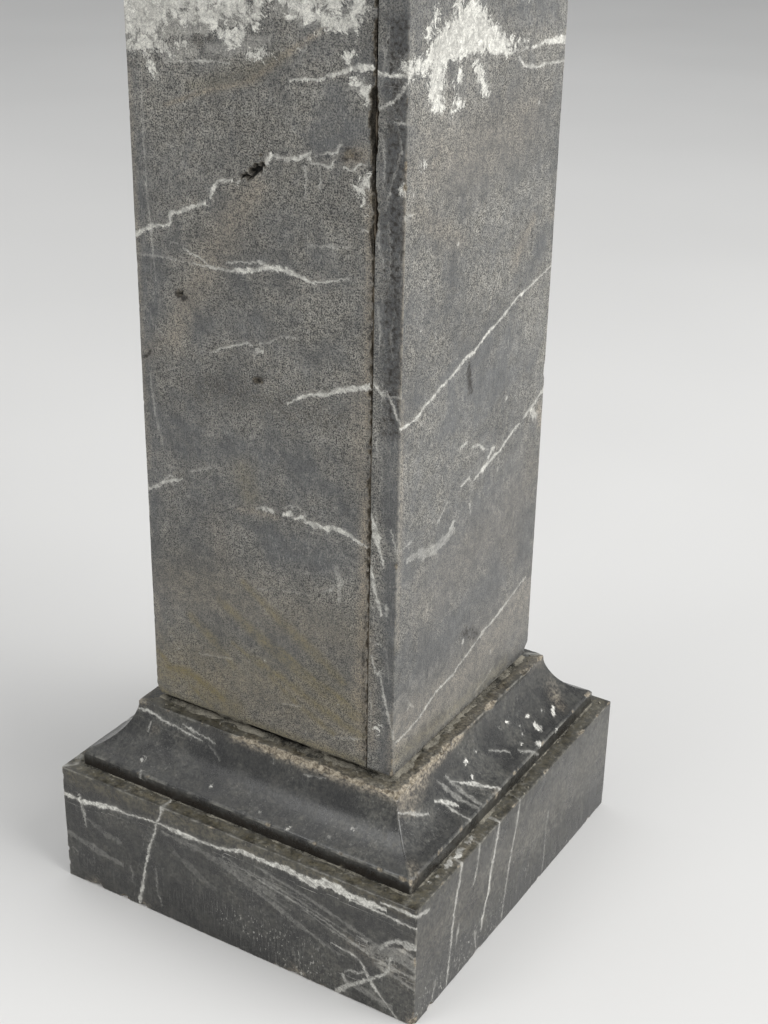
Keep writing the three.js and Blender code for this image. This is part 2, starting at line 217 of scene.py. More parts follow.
        (0.035, -60, 74, 20, 0, 66, 26, 60, 64, 30, 150, 60, 34),
    ],
    ("plinth", "back"): [
        (0.8, -154, 60, 1.2, -110, 66, 1.8, -60, 62, 1, -10, 70, 1.8, 40, 74, 2.2, 90, 70, 1.2,
         154, 78, 1.6),
        (0.5, 60, 100, 1, 66, 60, 1.2, 58, 20, 0.9, 60, -3, 0.8),
    ],
    ("plinth", "left"): [
        (0.8, -154, 50, 1.2, -100, 58, 1.6, -40, 56, 1.1, 20, 64, 2, 90, 70, 1.6, 154, 74, 1.6),
        (0.6, -70, 100, 1.2, -62, 60, 1.4, -66, 30, 1, -60, -3, 1),
    ],
    ("base_moulding", "front"): [
        (0.7, -116, 53, 0.9, -108, 55.5, 0.9, -100, 56, 0.9, -92, 55, 0.9, -85, 53, 0.8, -75, 52, 0.8,
         -65, 51, 0.9, -49, 49, 0.5),
        (0.6, -69, 56, 0.5, -64, 54.5, 1, -60, 54, 1.3, -52, 53, 0.7, -45, 52, 0.7, -38, 50, 0.5),
        (0.2, -45, 48, 0.5, -40, 46, 0.5, -35, 43, 0.5, -31, 40, 0.5),
        (0.35, -96, 41, 0.9, -95.5, 48, 1.3, -96, 50, 0.6), (0.45, -86, 6, 1.4, -86, 12, 2.2, -86, 14, 1),
        (0.35, 35, 52, 0.5, 45, 54, 0.8, 54, 55, 0.5), (0.3, 10, 51, 0.4, 11, 56, 0.8),
        (0.3, 68, 19, 0.9, 72, 19, 0.8),
    ],
    ("base_moulding", "right"): [
        (0.45, -111, 50, 0.8, -100, 44, 1.3, -92, 38, 1.8, -84, 34, 1),
        (0.7, -73, 38, 0.8, -68, 34, 1.8, -65, 32, 2.2, -60, 28, 2.4, -56, 23, 1),
        (0.45, -66, 32, 0.8, -64, 25, 1, -62, 20, 1.1, -58, 9, 0.8),
        (0.26, -61, 48, 1.2, -56, 38, 2.2, -52, 28, 2.6, -48, 20, 2.8, -44, 11, 1.6),
        (0.3, -51, 46, 1.2, -46, 34, 2, -43, 24, 2.4, -40, 12, 1.6),
        (0.7, -48, 39, 0.7, -38, 32, 1.4, -30, 26, 1.9, -22, 18, 2, -18, 14, 1.6, -13, 9, 0.8),
        (0.4, 3, 36, 0.4, 12, 30, 0.9, 17, 27, 1.2, 21, 23, 0.7),
        (0.55, 28, 21, 0.6, 33, 16, 1.3, 37, 13, 1.4, 42, 8, 1, 47, 4, 0.6),
        (0.3, 72, 10, 0.9, 80, 11, 0.8),
    ],
    ("base_moulding", "left"): [(0.6, -100, 20, 0.9, -40, 34, 1.3, 30, 30, 1, 90, 46, 1)],
    ("base_moulding", "back"): [(0.6, -90, 45, 0.9, -20, 30, 1.4, 50, 26, 1.1, 110, 12, 0.9)],
}

# White calcite masses: (*run)
MASSES = {
    ("shaft_front_slab", "front"): [
        (-103, 634, 15, -85, 633, 12, -60, 640, 9, -40, 645, 10, -20, 646, 8),
        (-103, 610, 4, -90, 609, 4, -72, 612, 4, -66, 608, 2.5), (-60, 613, 1, -54, 614, 2.5),
        (-28, 624, 2.5, -20, 619, 3.5, -12, 626, 3), (-14, 631, 3, -5, 634, 5, 0, 642, 5),
        (24, 640, 4, 35, 638, 4, 50, 636, 3.5, 62, 638, 5, 66, 646, 6),
        (-60, 655, 8, 0, 658, 7, 60, 652, 6), (66, 607, 2.5, 71, 604, 3.5, 74, 598, 2),
        (68, 546, 1.5, 72, 549, 2.5, 76, 553, 1.5), (71, 541, 0.8, 75, 535, 1.2),
        (59, 616, 1.5, 61, 620, 2), (-81, 600, 1.2, -80, 594, 0.8), (-6, 613, 1.5, 4, 615, 2),
        (-54, 628, 4, -30, 634, 6, -12, 640, 5), (-96, 622, 8, -82, 624, 7, -70, 628, 5),
        (8, 650, 6, 30, 648, 6, 52, 650, 6),
    ],
    ("shaft_right_slab", "front"): [(99, 550, 2.6), (85.5, 187, 1.1), (98, 617, 3)],
    ("shaft_right_slab", "right"): [
        (-80, 617, 2, -70, 621, 7, -60, 624, 10, -45, 627, 13, -30, 629, 15, -18, 626, 13, -8, 621, 9,
         0, 618, 7, 12, 615, 5.5, 25, 612, 2.5, 42, 611, 0.8),
        (-103, 615, 5, -90, 616, 4, -76, 616, 3), (-67, 612, 8, -67, 600, 8.5, -65, 593, 6),
        (-44, 600, 1.5, -40, 602, 3),
        (-49, 583, 1, -46, 589, 1.8, -42, 591, 2.2, -38, 589, 1.6, -40, 586, 1),
        (-21, 608, 2.5, -17, 602, 4, -13, 596, 3, -8, 590, 2), (-64, 626, 2, -52, 636, 3, -44, 646, 3),
        (-36, 632, 3, -22, 641, 2.5, -14, 650, 3), (-78, 632, 2, -70, 642, 2.5),
        (30, 640, 1.5, 60, 641, 2, 80, 645, 3), (12, 620, 1.5, 15, 616, 3), (-79, 560, 2.4),
    ],
    ("plinth", "front"): [(-134, 75, 1.5), (60, 3, 1.5)],
    ("plinth", "right"): [
        (-120, 104, 2), (-112, 104, 1.2), (-101, 103.6, 1.4, -93, 104.6, 2), (-86, 103, 1.8, -78, 105, 2.2),
        (-68, 104, 1.2, -62, 105, 1.4),
    ],
    ("base_moulding", "right"): [
        (62, 24, 2.6, 64, 20, 2.2), (86, 21, 1.6, 91, 24, 1.2), (79, 28, 1), (49, 13, 2.4), (76, 10, 1.4),
        (47, 32, 1.1), (36, 22, 1), (61, 33, 0.9), (44, 26, 1), (29, 17, 0.8), (-25, 42, 1.4),
        (-10, 42, 1.1), (-27, 31, 0.9), (26, 42, 0.9), (38, 41, 1),
    ],
    ("base_moulding", "front"): [
        (40, 14, 0.9), (-90, 22, 0.8), (14, 17, 0.8), (-30, 22, 0.7), (83, 30, 0.7),
    ],
}

# Small pale spots of the shaft: (across, up, radius)
SPOTS = {
    ("shaft_front_slab", "front"): [
        (-49, 297, 1.5), (-17, 299, 1), (33, 299, 0.9), (-26, 320, 1), (-64, 317, 1), (37, 273, 1),
        (21, 262, 0.9), (47, 303, 0.8), (30, 163, 1), (-84, 202, 1.1), (-78, 195, 1), (-66, 332, 1),
        (10, 511, 0.9), (13.5, 519, 1.1), (64, 476, 0.8), (-3, 209, 0.9), (56, 194, 0.9),
    ],
    ("shaft_right_slab", "right"): [
        (-40, 333, 1.9), (41, 377, 1.9), (-6, 211, 1.7), (37, 181, 1.5), (-64, 348, 1), (-80, 196, 1.2),
        (-35, 503, 1.6), (-88, 488, 1.1), (-77, 460, 1), (-30, 428, 1.1), (-55, 323, 1.1), (-90, 545, 1.2),
        (-20, 585, 0.8), (65, 570, 1.4), (90, 612, 1.2), (-36, 531, 1.2),
    ],
}

# Dark pits beside the seam: (height, reach)
SEAM_PITS = (
    (640, 1.8), (629, 2.2), (618, 1.6), (609, 2.4), (600, 3), (592, 4.2), (583, 3.2), (575, 4), (566, 3),
    (558, 3.8), (549, 2.6), (541, 2.2), (528, 1.6), (512, 2.2), (495, 1.3), (487, 1.3), (470, 1.8),
    (464, 2.4), (457, 2.4), (449, 1.5), (438, 2), (404, 1.2), (388, 1.7), (380, 2), (368, 1.5), (358, 1.3),
    (347, 1.2), (336, 2.2), (309, 1.4), (290, 1.6), (268, 1.6), (261, 2.3), (251, 1.5), (230, 1.2),
    (208, 1.5), (190, 1.3), (171, 1.7), (160, 1.4),
)
SEAM_PIT_AT = 77.2
SEAM_PIT_STAIN = 0.85

# Soft colour on the surface by kind: (amount, *run), with how far it reaches in place of the half width
STAINS = {
    ("shaft_front_slab", "front"): {
        "clay": [
            (0.4, -4, 535, 9, -22, 515, 11, -34, 495, 12, -46, 475, 11, -62, 450, 10, -72, 424, 8),
            (0.55, -71, 576, 1.4, -42, 587, 1.6, -6, 598, 2.2, 14, 613, 2.2, 43, 632, 1.8),
            (0.35, 70, 428, 6, 72, 405, 10, 71, 380, 10, 74, 360, 6),
            (0.8, 76, 350, 4, 76, 300, 5, 75.5, 240, 7, 75, 205, 9, 76, 165, 6),
            (0.6, 76, 545, 4, 76.5, 500, 3.5, 76, 450, 4, 76, 400, 4),
            (0.3, -94, 412, 6, -84, 422, 5, -74, 426, 5), (0.2, -40, 300, 8, -30, 240, 16, -5, 265, 14),
            (0.35, -22, 318, 2.5, -10, 320, 3, 8, 320, 2.5), (0.3, -97, 165, 6, -95, 230, 4),
            (0.35, 45, 158, 9, 35, 152, 7), (0.5, -58, 176, 7, -42, 178, 7),
            (0.25, -97, 330, 2.5, -97, 600, 2), (0.3, -80, 176, 28, -20, 180, 28, 50, 178, 28),
            (0.25, -80, 240, 24, -20, 250, 24, 50, 245, 24), (0.6, 60, 562, 5, 70, 566, 5),
        ],
        "olive": [
            (0.2, -50, 590, 4, -6, 603, 6, 16, 616, 5), (0.5, -92, 172, 14, -60, 168, 15, -30, 162, 12),
            (0.26, -80, 186, 28, -20, 192, 28, 40, 196, 28, 72, 192, 22),
            (0.12, -70, 250, 26, 0, 245, 22, 60, 250, 20), (0.5, -99, 153, 6, 0, 153, 5, 99, 153, 6),
            (0.3, -18, 345, 10, -12, 330, 8), (0.5, -20, 264, 3, 10, 244, 5, 34, 230, 6, 60, 212, 4),
            (0.5, -40, 244, 4, -5, 224, 6, 30, 206, 6, 70, 188, 5),
            (0.6, -14, 208, 3, 20, 196, 5, 50, 184, 5, 76, 176, 4),
            (0.5, -66, 224, 4, -48, 212, 5, -30, 196, 4),
            (0.9, -88, 176, 4, -70, 178, 5, -54, 172, 5, -40, 166, 4),
            (0.8, -96, 186, 3, -74, 170, 3, -50, 156, 3),
            (0.7, 10, 222, 2, 34, 208, 3, 58, 200, 3, 76, 190, 2),
            (0.6, -30, 214, 2, -6, 202, 3, 22, 184, 3, 52, 170, 3),
        ],
        "umber": [
            (0.3, -38, 592, 3, -6, 602, 5, 12, 612, 4), (0.5, 75, 250, 2, 76, 205, 3, 76, 165, 2),
            (0.64, 78.6, 640, 3, 78, 575, 4, 78.4, 535, 2.4),
            (0.42, 78, 540, 3, 77.5, 420, 3, 77.5, 330, 3, 77, 250, 3, 77.5, 152, 3),
            (1, -66, 458, 3, -61, 456, 2.5),
            (0.8, -104, 403, 1.6, -99, 408, 1.6, -93, 411, 1.4, -90, 415, 1),
            (0.6, -85, 422, 1.4, -79, 425, 1.2), (1, -7, 412, 3, -2, 413.5, 2.2),
            (0.62, 57, 561, 2.5, 62, 566, 4, 68, 564, 4), (0.7, -57, 451, 1.2),
            (0.33, -52, 398, 14, 0, 402, 18, 52, 398, 14), (0.7, 19, 476, 1.1),
            (0.6, 76.5, 600, 2, 76, 580, 2.2, 77, 560, 1.8, 78, 540, 1.2), (0.35, -48, 621, 9, -38, 619, 7),
            (0.4, -88, 151, 3, 0, 151, 4, 80, 151, 3),
            *((SEAM_PIT_STAIN, SEAM_PIT_AT, height, reach) for height, reach in SEAM_PITS),
        ],
    },
    ("shaft_right_slab", "front"): {
        "clay": [
            (0.35, 80, 260, 3, 81, 205, 4, 82, 170, 4), (0.5, 99, 560, 2, 99, 500, 1.2, 99, 420, 2),
            (0.35, 98, 200, 3, 97, 160, 4),
        ],
        "umber": [(0.52, 92, 640, 10, 93, 400, 8), (0.4, 96, 156, 4, 88, 152, 4)],
    },
    ("shaft_right_slab", "right"): {
        "clay": [
            (0.35, 44, 474, 8, 56, 486, 7, 66, 494, 5), (0.25, -85, 535, 10, -60, 518, 9, -30, 505, 7),
            (0.45, 92, 352, 5, 98, 340, 7), (0.45, -92, 178, 6, -96, 166, 8),
            (0.2, 55, 275, 20, 60, 250, 16), (0.25, 92, 180, 16, 80, 168, 12),
            (0.34, -90, 186, 24, -30, 178, 26, 30, 190, 28, 90, 200, 28),
            (0.2, -60, 270, 26, 20, 280, 28, 80, 300, 28), (0.25, -70, 560, 24, -10, 556, 26, 50, 560, 24),
            (0.3, -97, 420, 3, -96, 350, 3, -96, 250, 3), (0.3, 96, 492, 5),
        ],
        "olive": [(0.25, -90, 165, 8, 0, 160, 7, 60, 158, 9)],
        "umber": [
            (0.82, -14, 417, 3.6, -13, 408, 4.2, -11, 400, 3.8), (0.56, -6, 217, 6, 3, 213, 8, 12, 208, 6),
            (0.5, 67, 499, 0.8, 72, 495, 1, 80, 494, 1, 88, 490, 0.9), (0.16, 84, 463, 6, 90, 474, 6),
            (0.25, -78, 192, 12, -68, 200, 9),
            (0.45, -99, 153, 4, -60, 153, 3, 0, 153, 3, 60, 154, 5, 95, 154, 5),
        ],
    },
    ("plinth", "front"): {
        "clay": [
            (0.7, -124, 0, 5), (0.6, -78, 0, 4), (0.5, 54, 1, 6, 62, 2, 3), (0.6, 149, 6, 4, 149, -3, 6),
            (0.35, 150, 55, 3), (0.16, 100, 50, 7, 146, 36, 8), (0.25, -100, 101, 1.5, -50, 102, 1.4),
            (0.3, 140, 60, 5),
        ],
        "olive": [
            (0.4, -150, 103, 6, 0, 103, 6, 150, 103, 6),
            (0.22, -140, 92, 7, -40, 92, 7, 80, 94, 6, 140, 94, 6),
        ],
        "umber": [(0.5, -150, 98.5, 1.2, 0, 98.5, 1.2, 150, 98.5, 1.2)],
    },
    ("plinth", "right"): {
        "clay": [
            (0.08, -140, 62, 24, 0, 56, 24, 150, 56, 24), (0.35, -92, 104, 5, -60, 103, 4),
            (0.35, -49, 46, 2.5),
        ],
        "olive": [(0.35, -150, 104, 7, 150, 104, 7)],
        "umber": [(0.3, 20, 106, 3, 90, 107, 3)],
    },
    ("plinth", "left"): {
        "olive": [(0.4, -150, 104, 7, 150, 104, 7)],
    },
    ("plinth", "back"): {
        "olive": [(0.4, -150, 104, 7, 150, 104, 7)],
    },
    ("base_moulding", "front"): {
        "clay": [
            (0.8, -24, 60, 3, 20, 60, 3.5, 60, 60, 3.5, 109, 60, 3),
            (0.5, -14, 65, 5, 40, 65, 6, 105, 66, 8), (0.6, -112, 60, 3, -104, 62, 3), (0.3, -91, 45, 3),
            (0.5, 86, 1, 2),
        ],
        "olive": [(0.3, -104, 70, 7, -40, 68, 6, 30, 70, 6, 100, 70, 6)],
        # The long umber band at rise 3 lays dark brown speckle over the foot of the moulding, darkest at the
        # bottom.
        "umber": [(0.45, -90, 42, 2.2, -90, 50, 3), (0.95, -140, 3, 5, 140, 3, 5)],
    },
    ("base_moulding", "right"): {
        "clay": [
            (0.85, -108, 60, 4, -80, 57, 4, -55, 59, 3.5, -20, 60, 2.4),
            (0.5, -100, 66, 8, -60, 67, 7, -30, 66, 6, 20, 66, 4, 60, 68, 3, 105, 64, 7),
            (0.45, -104, 48, 3, -96, 43, 3), (0.45, -105, 54, 7, -90, 52, 8, -74, 55, 5), (0.6, -20, 10, 4),
            (0.3, 105, 34, 7, 98, 22, 6), (0.25, -128, 16, 6, -136, 8, 6),
        ],
        "olive": [(0.25, -104, 70, 5, 0, 70, 6, 105, 70, 6)],
        # The long umber band at rise 3 lays dark brown speckle over the foot of the moulding, darkest at the
        # bottom.
        "umber": [(0.3, -22, 10, 2), (0.45, -140, 3, 4, 140, 3, 4), (0.4, 74, 70, 4, 86, 70, 5)],
    },
    ("base_moulding", "left"): {
        "clay": [(0.45, 30, 60, 6, 105, 60, 5), (0.25, 60, 35, 30)],
    },
    ("base_moulding", "back"): {
        "clay": [(0.5, -80, 60, 5, -20, 61, 4)],
    },
}

# Where the fine open grain shows more or less than usual, which on the plinth's right face paints its sheen:
# (amount, *run)
GRAIN_AND_SHEEN = {
    ("shaft_front_slab", "front"): [
        (-0.75, 52, 590, 16, 40, 572, 13, 66, 580, 10), (-0.6, 35, 625, 12),
        (-0.5, -94, 640, 6, -94, 150, 6), (-0.55, -76, 488, 10, -88, 460, 9, -90, 440, 8),
        (-0.6, -50, 438, 9, -28, 445, 10, -2, 452, 8), (-0.4, 40, 500, 12, 66, 492, 12),
        (-0.65, -85, 362, 15, -50, 356, 14, -5, 360, 16, 30, 362, 15),
        (-0.7, 5, 300, 13, 45, 300, 16, 60, 305, 12), (-0.4, 50, 345, 14, 70, 340, 10),
        (-0.35, -80, 250, 26, 0, 230, 24, 52, 250, 14), (-0.15, -20, 190, 24),
        (0.05, -50, 395, 16, 0, 400, 20, 50, 396, 14), (0.3, -60, 580, 18, 0, 575, 16),
        (0.15, 20, 470, 14, 60, 465, 14), (0.25, 0, 535, 16, 60, 530, 16),
        (-0.2, -60, 325, 22, 0, 330, 22, 60, 320, 20), (-0.2, -80, 220, 24, 70, 225, 24),
        (-0.4, -60, 545, 10, -70, 530, 10), (-0.35, 22, 428, 8, 55, 440, 8),
    ],
    ("plinth", "right"): [
        # Painted sheen of the plinth's right face: more open grain makes it lighter high up, less makes it
        # darker towards the foot.
        (0.9, -130, 86, 22, -40, 82, 26, 60, 76, 28, 130, 70, 26), (-0.5, -150, 4, 20, 150, 6, 18),
    ],
    ("plinth", "front"): [
        (0.3, 90, 62, 14, 146, 50, 12), (0.3, -140, 94, 8, 0, 96, 6), (0.25, -90, 60, 18, -20, 50, 12),
        (-0.5, 0, 20, 16, 60, 14, 16), (-0.4, -60, 20, 12, -20, 30, 12), (-0.3, -130, 26, 10, -110, 14, 9),
    ],
    ("shaft_right_slab", "front"): [
        (-0.7, 96, 900, 7, 95, 400, 6, 95, 150, 6), (-0.4, 87, 900, 9, 86, 440, 8),
        (0.2, 83, 380, 4, 84, 160, 5),
    ],
    ("shaft_right_slab", "right"): [
        (-0.95, 0, 190, 62, 60, 200, 72, -60, 190, 52), (-0.3, -90, 420, 12, -94, 300, 14),
        (-0.5, 40, 630, 14, 90, 625, 16), (-0.5, 80, 470, 10, 92, 480, 8),
        (-0.8, -40, 290, 34, 50, 300, 38), (-0.45, -30, 400, 30, 40, 410, 30),
        (-0.25, -40, 560, 24, 80, 540, 26), (-0.3, 60, 400, 24, -60, 380, 20),
    ],
}

# Breaks: (x, y, z, three radii, dirt). Dirt 1 fills the hollow with black soil, 0 leaves fresh stone.
BREAKS = {
    "plinth": [
        (-124, -151, -1, 8, 4, 4.5, 0.2), (-80, -151, -1, 4.5, 3, 3.5, 0.2), (54, -151, -1, 7, 3, 3.5, 0.3),
        (77, -151, -1, 3.5, 2.5, 2.5, 0.3), (151, -151, 56, 2.2, 2.2, 6, 0), (151, -151, 2, 5, 5, 6, 0.2),
        (151, 96, 98, 3.5, 8, 2.6, 0), (-151, 60, -1, 4, 9, 4.5, 0.2), (40, 151, 98, 10, 4, 3.5, 0),
        (-151, -149, 40, 2, 2, 4, 0), (151, -60, -1, 3, 6, 3, 0.2),
    ],
    "base_moulding": [
        (-17, -110, 147.5, 6, 3.2, 3.4, 0), (-8, -110, 148, 8, 4, 4.6, 0), (4, -110, 147.5, 7, 3.6, 4.4, 0),
        (16, -110, 147.5, 9, 4.6, 6, 0), (29, -110, 147.5, 8, 4.2, 6, 0), (40, -110, 147.5, 8, 4.8, 5, 0),
        (52, -110, 148, 9, 4.4, 6, 0), (64, -110, 147.5, 8, 3.6, 4.6, 0), (76, -110, 148, 9, 4.2, 4.6, 0),
        (90, -110, 147.5, 8, 3, 3.4, 0), (102, -110, 148, 8, 5, 5, 0), (110, -110, 147.5, 8, 7, 6, 0),
        (110, -98, 148, 5, 8, 5, 0), (110, -84, 147.5, 4.5, 8, 5.4, 0), (110, -70, 148, 4.6, 9, 5.6, 0),
        (110, -56, 147.5, 3.8, 7, 4.2, 0), (110, -42, 148, 4.2, 9, 5, 0), (110, -28, 147.5, 3.2, 7, 3.4, 0),
        (110, 22, 148, 5, 9, 4.6, 0), (110, 80, 148, 5, 8, 3.6, 0.6), (-110, 40, 148, 4.4, 11, 4, 0),
        (-110, -108, 148, 4.4, 4.4, 3.4, 0), (139, -139, 108, 2.4, 2.4, 3, 0),
        (139, 132, 109.5, 2.6, 5, 2.4, 0), (-60, 110, 148, 12, 4, 4, 0), (86, -139.5, 97, 4, 2, 2.6, 0),
    ],
    "shaft_front_slab": [
        (-11.5, -99.5, 541, 4.6, 5, 1.7, 1), (-7, -99.5, 544.5, 3.6, 5, 2, 1),
        (-3, -99.5, 547.5, 3.8, 5, 2.2, 1), (0.5, -99.5, 549.8, 2.6, 4, 1.3, 1),
        (-1, -99.3, 555, 1.8, 1.6, 1, 0.9), (-99.6, -99.6, 152, 3.4, 3.4, 7, 0.1),
        (-100, -100, 446, 2.4, 2, 6, 0), (-100, -100, 566, 2, 2, 3, 0), (-5, -99.6, 412.5, 4, 1.8, 1.8, 1),
        (-65, -99.6, 458, 3, 1.8, 2, 1), (62, -99.6, 565, 6, 1, 3, 0.5),
    ],
    "shaft_right_slab": [
        (100, 100, 151, 7, 7, 8, 0.1), (100, -100, 151, 3, 3, 9, 0.1), (100, 100, 379, 3, 3, 8, 0),
        (78.6, -100, 532, 2.4, 4.5, 17, 0.6), (78.6, -100, 592, 2, 3.6, 13, 0.8),
        (78.6, -100, 574, 1.8, 4, 8, 1), (78.6, -100, 330, 1.6, 2.4, 10, 0.4),
        (100, -100, 550, 2.6, 2.6, 4, 0), (100, -100, 423, 1.5, 1.5, 3, 0),
        (100, -100, 606, 1.6, 1.6, 3, 0),
    ],
    "shaft_back_slab": [(-100, 100, 300, 3, 3, 7, 0), (-100, 100, 151, 4, 4, 8, 0.1)],
    "shaft_left_slab": [(-100, -60, 151, 3, 6, 4, 0.1)],
    "top_slab": [
        (-135, 60, 1076, 4, 9, 4, 0), (135, -135, 1044, 4, 4, 4, 0), (20, 135, 1076, 9, 4, 4, 0),
    ],
    "cap_moulding": [(104, 50, 1002, 4, 6, 4, 0)],
}


# Noise and distances in numpy

# Large odd numbers that scatter the corners of the noise grid
HASH = np.array([374761393, 668265263, 2246822519], np.uint32)
HASH_SEED = 3266489917
HASH_MIX = np.uint32(1274126177)
LOW_BITS = np.uint32(65535)


def solid_noise(points, size, seed=0):
    """Smooth noise from 0 to 1 at points in space, with bumps about that size."""
    cell = points / size
    corner = np.floor(cell).astype(np.int64)
    part = cell - corner
    part = part * part * (3 - 2 * part)
    total = np.zeros(len(points))
    for step in np.ndindex(2, 2, 2):
        mixed = ((corner + step).astype(np.uint32) * HASH).sum(axis=1, dtype=np.uint32)
        mixed = (mixed + np.uint32(seed * HASH_SEED % 2**32)) ^ (mixed >> np.uint32(13))
        mixed = mixed * HASH_MIX
        mixed = (mixed ^ (mixed >> np.uint32(16))) & LOW_BITS
        weight = np.prod(np.where(step, part, 1 - part), axis=1)
        total += weight * mixed / float(LOW_BITS)
    return total


def smooth(value, low, high):
    """0 below low, 1 above high and an even rise between them."""
    t = np.clip((value - low) / (high - low), 0, 1)
    return t * t * (3 - 2 * t)


SIDE_SLACK = 0.9
FAR = 1e9
VEIN_REACH = 5.0
VEIN_FADE = 2.0
CHANNELS = ("vein_a", "vein_b", "vein_c")
MASS_REACH = 8.0
SOFT_REACH = 24.0
USUAL_GRAIN = 0.7
SPOT_STRENGTH = 0.6
# Heights between which the shaft's own drifting veins take over from those of the tables
WILD_FROM = (655.0, 710.0)


def side_coordinates(points, rise, side):
    """The vertices of one side, and how far across and up they are, in millimetres."""
    x, y = points[:, 0], points[:, 1]
    across, depth = {"front": (x, -y), "right": (y, x), "back": (-x, y), "left": (-y, -x)}[side]
    on_side = np.nonzero(depth >= np.maximum(np.abs(x), np.abs(y)) - SIDE_SLACK)[0]
    return on_side, across[on_side], rise[on_side]


def near_run(rows, u, v, run, reach):
    """The vertices near a run, their signed distances, the half widths, and whether they lie alongside."""
    run = np.reshape(run, (-1, 3)).astype(float)
    wide = run[:, 2].max() + reach
    low, high = run[:, :2].min(axis=0) - wide, run[:, :2].max(axis=0) + wide
    near = (u > low[0]) & (u < high[0]) & (v > low[1]) & (v < high[1])
    rows, u, v = rows[near], u[near], v[near]
    if len(run) == 1:
        return rows, np.hypot(u - run[0, 0], v - run[0, 1]), np.full(len(u), run[0, 2]), np.ones(len(u), bool)
    best, sign = np.full(len(u), FAR), np.ones(len(u))
    width, beside = np.zeros(len(u)), np.zeros(len(u), bool)
    for i, (a, b) in enumerate(zip(run, run[1:])):
        du, dv = b[0] - a[0], b[1] - a[1]
        t = ((u - a[0]) * du + (v - a[1]) * dv) / (du * du + dv * dv)
        held = np.clip(t, 0, 1)
        gap = np.hypot(u - a[0] - held * du, v - a[1] - held * dv)
        nearer = gap < best
        best[nearer] = gap[nearer]
        sign[nearer] = np.sign(du * (v - a[1]) - dv * (u - a[0]) + TINY)[nearer]
        width[nearer] = (a[2] + held * (b[2] - a[2]))[nearer]
        past = ((t < 0) & (i == 0)) | ((t > 1) & (i == len(run) - 2))
        beside[nearer] = ~past[nearer]
    return rows, best * sign, width, beside


def lay_marks(mesh, name, points, rise, wild_sides):
    """Writes veins, masses, stains and open grain on the vertices, with the painted sheen of the right faces
    among the veins and the grain, for the stone's nodes to draw.
    """
    count = len(points)
    veins = np.zeros((len(CHANNELS), count, 3))
    veins[:, :, 0] = VEIN_REACH * 2
    mass, grain, wild = np.full(count, -MASS_REACH), np.full(count, USUAL_GRAIN), np.zeros(count)
    stain = {kind: np.zeros(count) for kind in ("clay", "olive", "umber")}
    for side in SIDES:
        rows, u, v = side_coordinates(points, rise, side)
        if side in wild_sides:
            wild[rows] = 1.0
        elif name.startswith("shaft"):
            wild[rows] = np.maximum(wild[rows], smooth(v, *WILD_FROM))
        key = (name, side)
        for strength, *run in VEINS_AND_SHEEN.get(key, []) + [(SPOT_STRENGTH, *spot) for spot in SPOTS.get(key, [])]:
            at, offset, width, beside = near_run(rows, u, v, run, VEIN_REACH)
            fade = np.clip((width + VEIN_REACH - np.abs(offset)) / VEIN_FADE, 0, 1) * beside
            live = fade > 0
            layer = veins[int(np.argmin([(channel[at[live], 1] > 0).sum() for channel in veins]))]
            better = live & (np.abs(offset) - width < np.abs(layer[at, 0]) - layer[at, 1])
            found = np.stack([offset, width * fade, np.full(len(at), strength)], axis=1)
            layer[at[better]] = found[better]
        for run in MASSES.get(key, []):
            at, gap, width, _ = near_run(rows, u, v, run, MASS_REACH)
            mass[at] = np.maximum(mass[at], np.clip(width - np.abs(gap), -MASS_REACH, MASS_REACH))
        for amount, *run in GRAIN_AND_SHEEN.get(key, []):
            at, gap, width, _ = near_run(rows, u, v, run, SOFT_REACH)
            grain[at] += amount * np.exp(-((gap / width) ** 2))
        for kind, found in STAINS.get(key, {}).items():
            for amount, *run in found:
                at, gap, width, _ = near_run(rows, u, v, run, SOFT_REACH)
                stain[kind][at] = np.maximum(stain[kind][at], amount * np.exp(-((gap / width) ** 2)))
    for channel, layer in zip(CHANNELS, veins):
        store(mesh, channel, layer)
    store(mesh, "stone", np.stack([mass, np.clip(grain, 0, 1), wild], axis=1))
    store(mesh, "stain", np.stack(list(stain.values()), axis=1))


# Losses of the front slab down its seam: (lowest, highest, how many, largest radius, dirt)
SEAM_WEAR = (
    (602, 640, 10, 2.4, 0.6), (574, 602, 10, 4, 0.8), (562, 576, 5, 2.6, 0.8), (500, 562, 13, 2.2, 0.7),
    (430, 500, 12, 1.9, 0.6), (300, 430, 20, 1.9, 0.55), (235, 300, 10, 1.7, 0.5), (152, 235, 13, 1.6, 0.5),
    (640, 1000, 24, 1.6, 0.8),
)


# Shares of the largest radius that a loss has at least, and of its own radius that it stands aside at most
LEAST_LOSS = 0.45
ASIDE = 0.8


def seam_breaks(x, y, seed):
    """Ragged losses down a seam, as breaks."""
    rng = np.random.default_rng(seed)
    found = []
    for low, high, many, largest, soil in SEAM_WEAR:
        for i in range(many):
            z = low + (high - low) * (i + rng.random()) / many
            size = largest * (LEAST_LOSS + (1 - LEAST_LOSS) * rng.random())
            aside = x - size * ASIDE * rng.random()
            found.append((aside, y, z, size, size * 1.4, size * (0.8 + 2.0 * rng.random()), soil))
    return found


def store(mesh, name, values):
    """Writes one vector for each vertex."""
    layer = mesh.attributes.new(name, "FLOAT_VECTOR", "POINT")
    layer.data.foreach_set("vector", np.ascontiguousarray(values, np.float32).ravel())


def read(items, name, width):
    """Reads numbers of mesh items as rows."""
    values = np.empty(len(items) * width, np.float32)
    items.foreach_get(name, values)
    return values.reshape(-1, width).astype(float) if width > 1 else values.astype(float)


# Lengths over which the wear of an arris changes, in millimetres
BOX_WEAR = 22
MITRE_WEAR = 18
FINE_WEAR = 5


